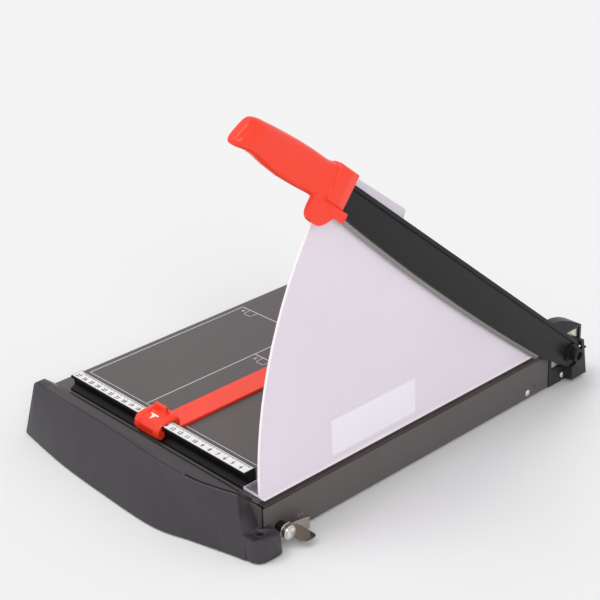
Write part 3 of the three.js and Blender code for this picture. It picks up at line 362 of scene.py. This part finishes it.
def strip_tree():
    """A flat printed strip along every edge of the guide."""
    tree, given = new_tree("printed_strips", width=line_width, thickness=ink_height)
    line = add_node(tree, "GeometryNodeMeshToCurve")
    tree.links.new(given["guide"], line.inputs["Mesh"])
    section = add_node(tree, "GeometryNodeCurvePrimitiveQuadrilateral")
    tree.links.new(given["width"], section.inputs["Width"])
    tree.links.new(given["thickness"], section.inputs["Height"])
    sweep = add_node(tree, "GeometryNodeCurveToMesh")
    sweep.inputs["Fill Caps"].default_value = True
    tree.links.new(line.outputs[0], sweep.inputs["Curve"])
    tree.links.new(section.outputs[0], sweep.inputs["Profile Curve"])
    return end_tree(tree, given, sweep.outputs[0])


def printed(name, digits, height, material, bold=0.00006):
    """Plain numbers printed in ink: each is text made a mesh, then laid in its place."""
    sheet = bmesh.new()
    for number, place in digits:
        letters = bpy.data.curves.new(name, "FONT")
        letters.body = number
        letters.size = height
        letters.align_x = "CENTER"
        letters.align_y = "CENTER"
        letters.extrude = ink_height / 2
        letters.resolution_u = 3
        letters.offset = bold
        holder = bpy.data.objects.new(name, letters)
        bpy.context.scene.collection.objects.link(holder)
        bpy.context.view_layer.update()
        flat = bpy.data.meshes.new_from_object(holder.evaluated_get(bpy.context.evaluated_depsgraph_get()))
        flat.transform(Matrix.Translation(place))
        sheet.from_mesh(flat)
        bpy.data.objects.remove(holder)
    bmesh.ops.remove_doubles(sheet, verts=sheet.verts, dist=1e-7)
    mesh = bpy.data.meshes.new(name)
    sheet.to_mesh(mesh)
    sheet.free()
    mesh.materials.append(material)
    piece = bpy.data.objects.new(name, mesh)
    bpy.context.scene.collection.objects.link(piece)
    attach(piece, "base")


pale_ink = finish("pale_grey_ink", ink_grey, 0.5, patch=0.04, patch_scale=300.0, rough_patch=0.03)
strips = strip_tree()
ink_middle = ink_height / 2 - ink_sunk


def outline_paths(sheet):
    """The long side, and the far side or sides, of one sheet size."""
    left = sheet["left"]
    return [[(left, near_line), (left, sheet["ends"])]] + [
        [(left, far), (sheet_right, far)] for far in sorted({sheet["far"], sheet["ends"]})]


def tab_paths(sheet):
    """A box with two rounded corners that hangs from the far line."""
    right, far = sheet["tab"], sheet["far"]
    left, low = right - tab_size[0], far - tab_size[1]
    return [[(left, far), (left, low + tab_corner), (left + tab_corner, low), (right - tab_corner, low),
             (right, low + tab_corner), (right, far)]]


near_path = [[(outer_sheet["left"], near_line), (sheet_right, near_line)]]
for name, width, paths in (
        ("sheet_outlines", line_width, outline_paths(outer_sheet) + outline_paths(inner_sheet)),
        ("sheet_near_line", tab_line, near_path),
        ("sheet_tabs", tab_line, tab_paths(outer_sheet) + tab_paths(inner_sheet))):
    ends = []
    runs = []
    for line in paths:
        runs += [(len(ends) + i, len(ends) + i + 1) for i in range(len(line) - 1)]
        ends += [at(x, y, ink_middle) for x, y in line]
    lines = grow(name, strips, pale_ink, ends, runs, width=width)
    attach(lines, "base")
digit_left, digit_down = digit_shift[0] * tab_size[0], digit_shift[1] * tab_size[1]
digit_places = [(sheet["digit"], at(sheet["tab"] - digit_left, sheet["far"] - digit_down, ink_middle))
                for sheet in (outer_sheet, inner_sheet)]
printed("sheet_numbers", digit_places, tab_digit, pale_ink)


# Lower blade. A bar of hardened steel screwed into the joggle of the board, ground flat on top.
# The grinding runs along the bar, and the cutting corner is left sharp.
blade_grey = (84, 77, 72)
ground_steel = finish("ground_steel", blade_grey, 0.34, metallic=1.0, patch=0.12, patch_scale=60.0,
                      rough_patch=0.08, grain=0.25, grain_scale=900.0, stretch=(8, 0.15, 8))
rounded("lower_blade", ground_steel, edge=0.0002)


# Front cap. A hollow moulding in black plastic that closes the near end of the board and carries the
# foot pad at its right corner. A thin groove follows its rim, and its skin has a fine spark texture.
cap_black = (61, 58, 62)
cap_edge = 0.0009
spark_grain = 2200.0
black_moulding = finish("black_moulding", cap_black, 0.34, patch=0.035, rough_patch=0.04, grain=0.12,
                        grain_scale=spark_grain, shine=0.36)
rim_line = ((-0.300, -0.0163), (-0.265, -0.0168), (-0.229, -0.0174), (-0.198, -0.0180), (-0.167, -0.0189),
            (-0.130, -0.0204), (-0.093, -0.0213), (-0.0745, -0.0212))
rim_groove = 0.0006
rim_depth = 0.0008
cap_top = 0.0083
pad_top = -0.0200
pad_recess = (0.0060, 0.0007)
recess_sides = 48
smooth_flat = math.radians(0.02)


def groove_cutter(line, width, depth, top):
    """A thin wall along a line, that stands in the surface as deep as the groove."""
    walls = bmesh.new()
    corners = []
    for offset in (0, width):
        for z in (top - depth, top + depth):
            corners.append([walls.verts.new(at(x, y + offset, z)) for x, y in line])
    low_near, high_near, low_far, high_far = corners
    for first, second in ((low_near, high_near), (high_near, high_far), (high_far, low_far), (low_far, low_near)):
        for i in range(len(line) - 1):
            walls.faces.new((first[i], first[i + 1], second[i + 1], second[i]))
    for i in (0, -1):
        walls.faces.new((low_near[i], high_near[i], high_far[i], low_far[i]))
    bmesh.ops.recalc_face_normals(walls, faces=walls.faces)
    mesh = bpy.data.meshes.new("groove_cutter")
    walls.to_mesh(mesh)
    walls.free()
    cutter = bpy.data.objects.new("groove_cutter", mesh)
    bpy.context.scene.collection.objects.link(cutter)
    return cutter


pad_middle = sum(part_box("foot_pad_screw"), Vector()) / 2
bpy.ops.mesh.primitive_cylinder_add(radius=pad_recess[0], depth=2 * pad_recess[1], vertices=recess_sides,
                                    location=(pad_middle.x, pad_middle.y, datum.z + pad_top))
rounded("front_cap", black_moulding, edge=cap_edge, steps=3, flat=smooth_flat,
        cutters=(groove_cutter(rim_line, rim_groove, rim_depth, cap_top), bpy.context.object))


# Rubber feet. Four turned pads of soft black rubber, the near right one held by a screw from above
# with a cross recess, sunk deep in the foot pad.
rubber_black = (28, 28, 30)
screw_black = (48, 46, 48)
rubber = finish("foot_rubber", rubber_black, 0.85, patch=0.1, grain=0.4, grain_scale=700.0, shine=0.2)
head_points = 32
head_rings = 8
shank_points = 24
turn_seed = 5


def screw_tree(recess):
    """A screw or rivet on every guide point: a domed head with its recess, a shank, and a turn of its own."""
    tree, given = new_tree(
        f"{recess}_screw", axis=(0.0, 0.0, 1.0), head_radius=0.003, rim_height=0.001, dome_height=0.0008,
        dome_power=3.0, recess_reach=0.002, recess_width=0.0007, recess_depth=0.001, shank_radius=0.0015,
        shank_length=0.01, seed=turn_seed)
    link = tree.links.new
    head = add_node(tree, "GeometryNodeMeshCylinder", Vertices=head_points, Side_Segments=2,
                    Fill_Segments=head_rings)
    link(given["head_radius"], head.inputs["Radius"])
    link(given["rim_height"], head.inputs["Depth"])
    level_place = add_node(tree, "ShaderNodeVectorMath", operation="MULTIPLY")
    level_place.inputs[1].default_value = (1, 1, 0)
    link(add_node(tree, "GeometryNodeInputPosition").outputs[0], level_place.inputs[0])
    reach = add_node(tree, "ShaderNodeVectorMath", operation="LENGTH")
    link(level_place.outputs[0], reach.inputs[0])
    share = worked(tree, "MINIMUM", worked(tree, "DIVIDE", reach.outputs["Value"], given["head_radius"]), 1.0)
    fall = worked(tree, "POWER", share, given["dome_power"])
    rise = worked(tree, "MULTIPLY", worked(tree, "SUBTRACT", 1.0, fall), given["dome_height"])
    dome = add_node(tree, "GeometryNodeSetPosition")
    link(head.outputs["Mesh"], dome.inputs["Geometry"])
    link(head.outputs["Top"], dome.inputs["Selection"])
    link(across(tree, z=rise), dome.inputs["Offset"])
    half_rim = worked(tree, "MULTIPLY", given["rim_height"], 0.5)
    seated = add_node(tree, "GeometryNodeTransform")
    link(dome.outputs[0], seated.inputs["Geometry"])
    link(across(tree, z=half_rim), seated.inputs["Translation"])
    shank = add_node(tree, "GeometryNodeMeshCylinder", Vertices=shank_points)
    link(given["shank_radius"], shank.inputs["Radius"])
    link(worked(tree, "ADD", given["shank_length"], half_rim), shank.inputs["Depth"])
    hung = add_node(tree, "GeometryNodeTransform")
    link(shank.outputs["Mesh"], hung.inputs["Geometry"])
    link(across(tree, z=worked(tree, "MULTIPLY", worked(tree, "SUBTRACT", half_rim, given["shank_length"]), 0.5)),
         hung.inputs["Translation"])
    whole = add_node(tree, "GeometryNodeMeshBoolean", operation="UNION", solver="EXACT")
    link(seated.outputs[0], whole.inputs["Mesh 2"])
    link(hung.outputs[0], whole.inputs["Mesh 2"])
    made = whole.outputs["Mesh"]
    crown = worked(tree, "ADD", given["rim_height"], given["dome_height"])
    cutters = []
    if recess in ("cross", "slot"):
        long_side = worked(tree, "MULTIPLY", given["recess_reach"], 2.0)
        deep_side = worked(tree, "MULTIPLY", given["recess_depth"], 2.0)
        sides = [(long_side, given["recess_width"], deep_side)]
        if recess == "cross":
            sides.append((given["recess_width"], long_side, deep_side))
        for side in sides:
            cutters.append(add_node(tree, "GeometryNodeMeshCube"))
            link(across(tree, *side), cutters[-1].inputs["Size"])
    if cutters:
        cut = add_node(tree, "GeometryNodeMeshBoolean", operation="DIFFERENCE", solver="EXACT")
        link(made, cut.inputs["Mesh 1"])
        for cutter in cutters:
            raised = add_node(tree, "GeometryNodeTransform")
            link(cutter.outputs["Mesh"], raised.inputs["Geometry"])
            link(across(tree, z=crown), raised.inputs["Translation"])
            link(raised.outputs[0], cut.inputs["Mesh 2"])
        made = cut.outputs["Mesh"]
    aim = add_node(tree, "FunctionNodeAlignRotationToVector", axis="Z")
    link(given["axis"], aim.inputs["Vector"])
    chance = add_node(tree, "FunctionNodeRandomValue", data_type="FLOAT")
    chance.inputs[3].default_value = math.pi / 2
    link(given["seed"], chance.inputs["Seed"])
    roll = add_node(tree, "FunctionNodeEulerToRotation")
    link(across(tree, z=chance.outputs[1]), roll.inputs[0])
    turned = add_node(tree, "FunctionNodeRotateRotation", rotation_space="LOCAL")
    link(aim.outputs[0], turned.inputs[0])
    link(roll.outputs[0], turned.inputs[1])
    stand = add_node(tree, "GeometryNodeInstanceOnPoints")
    link(given["guide"], stand.inputs["Points"])
    link(made, stand.inputs["Instance"])
    link(turned.outputs[0], stand.inputs["Rotation"])
    return end_tree(tree, given, stand.outputs[0])


def fastened(name, nodes, axis, tree, material, body="base", rim=0.001, dome=0.0, power=3.0, shank=0.0015,
             reach=0.55, width=0.2, depth=0.5, seed=turn_seed):
    """All the screws of a kind on one body, each standing where its node is; shares are of the head's radius."""
    axis = Vector(axis)
    seats = []
    for node in nodes:
        low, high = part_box(node)
        span = abs(axis.dot(high - low))
        head = min(size for size, along in zip(high - low, axis) if not along) / 2
        seats.append((low + high) / 2 + axis * (span / 2 - rim - dome))
    piece = grow(name, tree, material, seats, axis=list(axis), head_radius=head, rim_height=rim, dome_height=dome,
                 dome_power=power, recess_reach=reach * head, recess_width=width * head, recess_depth=depth * head,
                 shank_radius=shank, shank_length=span - rim - dome, seed=seed)
    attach(piece, body)
    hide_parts(*nodes)


cross_screw = screw_tree("cross")
slotted_screw = screw_tree("slot")
plain_rivet = screw_tree("plain")
for foot in ("foot_near_left", "foot_near_right", "foot_far_left", "foot_far_right"):
    rounded(foot, rubber)
black_screw = finish("blacked_screw", screw_black, 0.35, metallic=0.7, patch=0.1)
fastened("foot_screw", ["foot_pad_screw"], (0, 0, 1), cross_screw, black_screw,
         rim=0.0008, dome=0.0010, shank=0.0015)


# Paper stop. A black anodised bar with an undercut near side, screwed to the board from below. The
# white film on its top carries a plain scale in centimetres, counted from the cut line.
anodised = (21, 20, 22)
film_grey = (240, 238, 238)
scale_grey = (44, 42, 45)
zinc = (222, 214, 200)
stop_black = finish("anodised_black", anodised, 0.36, patch=0.05, grain=0.1,
                    grain_scale=900.0, stretch=(0.1, 6, 6), shine=0.16)
rounded("ruler_bar", stop_black)
label_white = finish("label_film", film_grey, 0.4, patch=0.015, patch_scale=90.0)
rounded("ruler_scale", label_white, edge=0.00008, steps=1)
scale_black = finish("scale_ink", scale_grey, 0.5, patch=0.05, patch_scale=400.0)
scale_low, scale_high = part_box("ruler_scale")
first_mark = 34
last_mark = 270
mark_step = 0.001
mark_width = 0.0004
mark_far = scale_high.y - 0.0006
number_height = 0.0056
number_bold = 0.00014
number_row = scale_low.y + 0.0034


def scale_tree():
    """A row of marks: every fifth one longer, every tenth the longest."""
    tree, given = new_tree("scale_marks", count=10, step=mark_step, short=0.002, middle=0.003, long=0.004,
                           width=mark_width, thickness=ink_height)
    link = tree.links.new
    row = add_node(tree, "GeometryNodeMeshLine", mode="OFFSET")
    link(given["count"], row.inputs["Count"])
    link(across(tree, x=given["step"]), row.inputs["Offset"])
    moved = add_node(tree, "GeometryNodeSetPosition")
    start = add_node(tree, "GeometryNodeSampleIndex", data_type="FLOAT_VECTOR")
    link(given["guide"], start.inputs["Geometry"])
    link(add_node(tree, "GeometryNodeInputPosition").outputs[0], start.inputs["Value"])
    link(row.outputs["Mesh"], moved.inputs["Geometry"])
    link(start.outputs[0], moved.inputs["Offset"])
    place_in_row = add_node(tree, "GeometryNodeInputIndex").outputs[0]
    fives = worked(tree, "LESS_THAN", worked(tree, "MODULO", place_in_row, 5.0), 0.5)
    tens = worked(tree, "LESS_THAN", worked(tree, "MODULO", place_in_row, 10.0), 0.5)
    by_five = worked(tree, "MULTIPLY", fives, worked(tree, "SUBTRACT", given["middle"], given["short"]))
    by_ten = worked(tree, "MULTIPLY", tens, worked(tree, "SUBTRACT", given["long"], given["middle"]))
    length = worked(tree, "ADD", given["short"], worked(tree, "ADD", by_five, by_ten))
    mark = add_node(tree, "GeometryNodeMeshCube")
    mark.inputs["Size"].default_value = (1, 1, 1)
    hung = add_node(tree, "GeometryNodeTransform")
    hung.inputs["Translation"].default_value = (0, -0.5, 0)
    link(mark.outputs["Mesh"], hung.inputs["Geometry"])
    stand = add_node(tree, "GeometryNodeInstanceOnPoints")
    link(moved.outputs[0], stand.inputs["Points"])
    link(hung.outputs[0], stand.inputs["Instance"])
    link(across(tree, given["width"], length, given["thickness"]), stand.inputs["Scale"])
    return end_tree(tree, given, stand.outputs[0])


scale_top = scale_high.z + ink_middle
scale_marks = grow("scale_marks", scale_tree(), scale_black,
                   [(datum.x - last_mark * mark_step, mark_far, scale_top)],
                   count=last_mark - first_mark + 1, step=mark_step, short=0.0017, middle=0.0025, long=0.0034,
                   width=mark_width)
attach(scale_marks, "base")
printed("scale_numbers", [(str(number), (datum.x - number / 100, number_row, scale_top))
                          for number in range(first_mark // 10 + 1, last_mark // 10 + 1)],
        number_height, scale_black, bold=number_bold)
zinc_bright = finish("zinc_plate", zinc, 0.36, metallic=1.0, patch=0.08, patch_scale=120.0)
fastened("stop_screws", [f"ruler_screw_{number}" for number in (1, 2, 3)], (0, 0, -1), cross_screw, zinc_bright,
         rim=0.0008, dome=0.0010, shank=0.0015)


# Hand guard. Acrylic sheet, cut to an arc about the pivot and bent out over the board: its upright is
# frosted and the foot that it stands on is clear. Its sawn edges are frosted white. They and a band along
# the foot of the upright are painted opaque white, a painted glow for the light that the sheet carries
# to its edges. A blank film of paler acrylic is stuck on its outer face above the board.
frost = (249, 241, 251)
acrylic_edge = 0.0006
foot_start = -0.0062
# Below this height above the board the upright is painted opaque white, a painted glow along its foot.
painted_glow_band = 0.0046
# White of the sawn edges: frosted white in part, brightened further as a painted glow.
sawn_white_and_painted_glow = (252, 247, 253)
film_tint = (244, 239, 246)
nickel_grey = (232, 229, 224)
acrylic_bend = 1.25
square_on = 0.99


def acrylic(name, colour, roughness, through, shine):
    """Acrylic that lets a share of the light through."""
    material = finish(name, colour, roughness, patch=0.02, patch_scale=8.0, rough_patch=0.03, shine=shine)
    shader = material.node_tree.nodes["Principled BSDF"]
    shader.inputs["Transmission Weight"].default_value = through
    shader.inputs["IOR"].default_value = acrylic_bend
    return material


guard = rounded("guard_shield", acrylic("frosted_acrylic", frost, 0.5, 0.25, 0.25),
                edge=acrylic_edge, steps=3)
guard.data.materials.append(acrylic("clear_acrylic", frost, 0.12, 0.85, 0.4))
guard.data.materials.append(acrylic("sawn_acrylic_and_painted_glow", sawn_white_and_painted_glow, 0.4, 0.0, 0.3))
split = bmesh.new()
split.from_mesh(guard.data)
bmesh.ops.bisect_plane(split, geom=split.verts[:] + split.edges[:] + split.faces[:],
                       plane_co=at(0, 0, painted_glow_band), plane_no=(0, 0, 1))
split.to_mesh(guard.data)
split.free()
# Upright faces above the painted glow band are frosted and flat faces of the foot are clear. All the rest, sawn
# edges and the band, take the white with the painted glow.
for flat in guard.data.polygons:
    if abs(flat.normal.x) > square_on and flat.center.z > datum.z + painted_glow_band:
        flat.material_index = 0
    elif abs(flat.normal.z) > square_on and flat.center.x < datum.x + foot_start:
        flat.material_index = 1
    else:
        flat.material_index = 2
film_span = ((0.0827, 0.0105), (0.1845, 0.0443))
film_thickness = 0.00012
film_sunk = 0.00006
film_round = 0.0015
film_steps = 4
film_white = finish("pale_film", film_tint, 0.42, patch=0.01, patch_scale=40.0, shine=0.3)


def film_outline(low, high, corner):
    """A rectangle of film with rounded corners, as (y, z) points."""
    points = []
    corners = ((high[0], high[1]), (low[0], high[1]), (low[0], low[1]), (high[0], low[1]))
    for quarter, (y, z) in enumerate(corners):
        inward = Vector((corner if y == low[0] else -corner, corner if z == low[1] else -corner))
        for step in range(film_steps + 1):
            angle = math.pi / 2 * (quarter + step / film_steps)
            points.append((y + inward.x + corner * math.cos(angle), z + inward.y + corner * math.sin(angle)))
    return points


film = bmesh.new()
guard_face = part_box("guard_shield")[1].x
outer_ring, inner_ring = [
    [film.verts.new((face, datum.y + y, datum.z + z)) for y, z in film_outline(*film_span, film_round)]
    for face in (guard_face + film_thickness, guard_face - film_sunk)]
film.faces.new(outer_ring)
film.faces.new(inner_ring[::-1])
for i in range(len(outer_ring)):
    film.faces.new((outer_ring[i - 1], inner_ring[i - 1], inner_ring[i], outer_ring[i]))
film_mesh = bpy.data.meshes.new("guard_film")
film.to_mesh(film_mesh)
film.free()
film_mesh.materials.append(film_white)
guard_film = bpy.data.objects.new("guard_film", film_mesh)
bpy.context.scene.collection.objects.link(guard_film)
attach(guard_film, "base")
for spacer in ("guard_spacer_near", "guard_spacer_far"):
    rounded(spacer, black_moulding, edge=0.0003)
nickel = finish("nickel_plate", nickel_grey, 0.22, metallic=1.0, patch=0.05, patch_scale=90.0)
fastened("guard_screws", ["guard_screw_near", "guard_screw_far"], (0, 0, 1), cross_screw, nickel,
         rim=0.0008, dome=0.0010, shank=0.0018)


# Pivot. A zinc plated bracket inside the board carries the bolt, in a black moulded housing. The
# chamfered nut and its washers are black, and two bright domed screws hold the bracket to the side.
moulding_black = (42, 40, 43)
enamel_black = (33, 32, 34)
bronze_brown = (168, 132, 84)
rivet_grey = (120, 115, 114)
nut_chamfer = math.radians(30)
nut_face = 0.485
cone_sides = 48
bore_sides = 32
rounded("pivot_bracket", zinc_bright)
housing_black = finish("housing_moulding", moulding_black, 0.4, patch=0.035, rough_patch=0.04, grain=0.12,
                       grain_scale=spark_grain, shine=0.3)
rounded("pivot_housing", housing_black, edge=0.0006, steps=3)
black_metal = finish("black_enamel", enamel_black, 0.34, patch=0.04, grain=0.12,
                     grain_scale=900.0, shine=0.2)
for part in ("stop_screw", "pivot_bolt", "pivot_outer_washer", "pivot_spring_washer"):
    rounded(part, black_metal, edge=0.0003)


def nut_tree():
    """A chamfered hexagon nut on every guide point."""
    tree, given = new_tree("chamfered_nut", axis=(0.0, 0.0, 1.0), flats=0.013, height=0.0065, bore=0.0042,
                           chamfer=nut_chamfer)
    link = tree.links.new
    prism = add_node(tree, "GeometryNodeMeshCylinder", Vertices=6)
    link(worked(tree, "DIVIDE", given["flats"], math.sqrt(3)), prism.inputs["Radius"])
    link(given["height"], prism.inputs["Depth"])
    small = worked(tree, "MULTIPLY", given["flats"], nut_face)
    spread = worked(tree, "DIVIDE", given["height"], worked(tree, "TANGENT", given["chamfer"]))
    body = add_node(tree, "GeometryNodeMeshBoolean", operation="INTERSECT", solver="EXACT")
    link(prism.outputs["Mesh"], body.inputs["Mesh 2"])
    half = worked(tree, "MULTIPLY", given["height"], 0.5)
    large = worked(tree, "ADD", small, spread)
    for top, bottom in ((small, large), (large, small)):
        cone = add_node(tree, "GeometryNodeMeshCone", Vertices=cone_sides)
        link(top, cone.inputs["Radius Top"])
        link(bottom, cone.inputs["Radius Bottom"])
        link(given["height"], cone.inputs["Depth"])
        centred = add_node(tree, "GeometryNodeTransform")
        link(cone.outputs["Mesh"], centred.inputs["Geometry"])
        link(across(tree, z=worked(tree, "MULTIPLY", half, -1.0)), centred.inputs["Translation"])
        link(centred.outputs[0], body.inputs["Mesh 2"])
    hole = add_node(tree, "GeometryNodeMeshCylinder", Vertices=bore_sides)
    link(given["bore"], hole.inputs["Radius"])
    link(worked(tree, "MULTIPLY", given["height"], 2.0), hole.inputs["Depth"])
    bored = add_node(tree, "GeometryNodeMeshBoolean", operation="DIFFERENCE", solver="EXACT")
    link(body.outputs["Mesh"], bored.inputs["Mesh 1"])
    link(hole.outputs["Mesh"], bored.inputs["Mesh 2"])
    aim = add_node(tree, "FunctionNodeAlignRotationToVector", axis="Z")
    link(given["axis"], aim.inputs["Vector"])
    stand = add_node(tree, "GeometryNodeInstanceOnPoints")
    link(given["guide"], stand.inputs["Points"])
    link(bored.outputs["Mesh"], stand.inputs["Instance"])
    link(aim.outputs[0], stand.inputs["Rotation"])
    return end_tree(tree, given, stand.outputs[0])


def nutted(node, tree, material, bore):
    """A chamfered nut in place of its node, about an axis along x."""
    low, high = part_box(node)
    piece = grow(node + "_chamfered", tree, material, [(low + high) / 2], axis=[1.0, 0.0, 0.0],
                 flats=high.y - low.y, height=high.x - low.x, bore=bore)
    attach(piece, "base")
    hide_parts(node)


chamfered_nut = nut_tree()
nutted("pivot_nut", chamfered_nut, black_metal, 0.0041)
bronze = finish("bronze", bronze_brown, 0.35, metallic=1.0, patch=0.1, patch_scale=80.0)
rounded("pivot_inner_washer", bronze, edge=0.0002)
for part, seed in (("side_screw", turn_seed), ("housing_screw", 2)):
    fastened(f"{part}_bright", [part], (1, 0, 0), cross_screw, nickel, rim=0.0006, dome=0.0011,
             power=2.6, shank=0.0015, reach=0.45, width=0.17, depth=0.25, seed=seed)
painted_rivet = finish("painted_rivet", rivet_grey, 0.3, metallic=0.6, patch=0.05, patch_scale=300.0)
fastened("edge_rivets", ["edge_rivet_1", "edge_rivet_2"], (1, 0, 0), plain_rivet, painted_rivet,
         rim=0.0001, dome=0.0003, power=2.0, shank=0.0012)


# Latch. A pressed plate that swings up over the closed arm, on a black boss with a slotted screw,
# two turned washers and a nut inside the board.
rounded("latch_boss", black_metal, edge=0.0003)
for part in ("latch_washer_inner", "latch_washer_outer"):
    rounded(part, nickel, edge=0.0003, steps=3)
fastened("latch_screw_slotted", ["latch_screw"], (1, 0, 0), slotted_screw, nickel,
         rim=0.0014, dome=0.0010, power=2.4, shank=0.0025, reach=1.3, width=0.24, depth=0.24, seed=1)
nutted("latch_nut", chamfered_nut, nickel, 0.0026)
plate_grey = (168, 161, 153)
latch_steel = finish("polished_plate", plate_grey, 0.17, metallic=1.0, patch=0.06, patch_scale=70.0,
                     rough_patch=0.04)
rounded("latch_plate", latch_steel, body="latch", steps=3)


# Arm and upper blade. A heavy steel arm in black enamel with the bowed blade screwed behind it, its
# outer side ground bright down to the edge. The grinding marks lie across the edge.
rounded("arm", black_metal, body="arm", edge=0.0005, steps=3)
rounded("pivot_bushing", bronze, body="arm", edge=0.0002)
rounded("arm_stop_pin", nickel, body="arm", edge=0.0003)
steel_grey = (158, 156, 153)
bright_steel = finish("ground_blade", steel_grey, 0.24, metallic=1.0, patch=0.08, patch_scale=60.0,
                      rough_patch=0.06, grain=0.2, grain_scale=900.0, stretch=(8, 0.2, 0.2))
rounded("blade", bright_steel, body="arm", edge=0.00008, steps=1)
fastened("blade_screws", [f"blade_screw_{number}" for number in (1, 2, 3, 4)], (-1, 0, 0), cross_screw,
         bright_steel, body="arm", rim=0.0010, dome=0.0001, shank=0.0015)


# Handle. One moulding in orange red plastic over the end of the arm, smooth and slightly glossy, held
# by two screws sunk in its inner side.
orange_red = (255, 60, 30)
red_depth = 0.08
red_spread = (0.004, 0.001, 0.0006)
skin_softness = 0.5
red_moulding = finish("orange_red_moulding", orange_red, 0.25, patch=0.03, rough_patch=0.03, grain=0.04,
                      grain_scale=1500.0, shine=0.45)
red_shader = red_moulding.node_tree.nodes["Principled BSDF"]
red_shader.inputs["Subsurface Weight"].default_value = red_depth
red_shader.inputs["Subsurface Radius"].default_value = red_spread


def moulded(node, material, body, voxel, passes):
    """The node again as one smooth moulding, with every edge and corner softly rounded."""
    mesh = clean_copy(node)
    mesh.materials.append(material)
    piece = bpy.data.objects.new(node + "_moulded", mesh)
    bpy.context.scene.collection.objects.link(piece)
    skin = piece.modifiers.new("one skin", "REMESH")
    skin.mode = "VOXEL"
    skin.voxel_size = voxel
    skin.use_smooth_shade = True
    smooth = piece.modifiers.new("soft edges", "SMOOTH")
    smooth.factor = skin_softness
    smooth.iterations = passes
    settle(piece)
    piece.data.materials.clear()
    piece.data.materials.append(material)
    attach(piece, body)
    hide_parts(node)
    return piece


moulded("handle", red_moulding, "arm", voxel=0.0007, passes=7)
fastened("handle_screws", ["handle_screw_1", "handle_screw_2"], (-1, 0, 0), cross_screw, nickel,
         body="arm", rim=0.0008, dome=0.0010, shank=0.0015)


# Back gauge. A saddle that slides on the paper stop, with a flat fence riveted to it, and a white
# pointer printed on its top: a short bar with an arrow to the scale.
slider = moulded("gauge_slider", red_moulding, "back_gauge", voxel=0.0004, passes=3)
rounded("gauge_fence", red_moulding, body="back_gauge", edge=0.0006, steps=3)
fastened("gauge_rivets", ["gauge_rivet_1", "gauge_rivet_2"], (0, 0, 1), plain_rivet, nickel,
         body="back_gauge", rim=0.0004, dome=0.0002, power=2.0, shank=0.00149)
rounded("gauge_leaf_spring", bright_steel, body="back_gauge", edge=0.00005, steps=1)
pointer_middle = at(-0.1572, 0.0146, 0.030)
pointer_bar = (0.0100, 0.0015)
pointer_arrow = (0.0046, 0.0054)
pointer_cells = 12
pointer_tip = 0.00012
white = (250, 248, 246)
pointer_skin = 0.00008


def pointer_mark():
    """The pointer as small cells that lie on the saddle, whatever its curve."""
    surface = BVHTree.FromPolygons([corner.co for corner in slider.data.vertices],
                                   [cell.vertices for cell in slider.data.polygons])
    shape = bmesh.new()
    length, width = pointer_bar
    wide_end, reach = pointer_arrow
    rows = [(width / 2, length), (-width / 2, length), (-width / 2, wide_end),
            (-width / 2 - reach / 2, wide_end / 2), (-width / 2 - reach, pointer_tip)]
    levels = []
    for along, wide in rows:
        levels.append([pointer_middle + Vector(((i / pointer_cells - 0.5) * wide, along, 0))
                       for i in range(pointer_cells + 1)])
    for first, second in ((0, 1), (2, 3), (3, 4)):
        grid = []
        for level_points in (levels[first], levels[second]):
            laid = []
            for point in level_points:
                hit = surface.ray_cast(point, Vector((0, 0, -1)))[0]
                laid.append(shape.verts.new(hit + Vector((0, 0, pointer_skin))))
            grid.append(laid)
        for i in range(pointer_cells):
            shape.faces.new((grid[1][i], grid[1][i + 1], grid[0][i + 1], grid[0][i]))
    bmesh.ops.remove_doubles(shape, verts=shape.verts, dist=weld)
    mesh = bpy.data.meshes.new("gauge_pointer")
    shape.to_mesh(mesh)
    shape.free()
    mesh.materials.append(finish("white_ink", white, 0.45, patch=0.02, patch_scale=300.0))
    piece = bpy.data.objects.new("gauge_pointer", mesh)
    bpy.context.scene.collection.objects.link(piece)
    skin = piece.modifiers.new("ink", "SOLIDIFY")
    skin.thickness = 2 * pointer_skin
    skin.offset = -1
    settle(piece)
    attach(piece, "back_gauge")


pointer_mark()
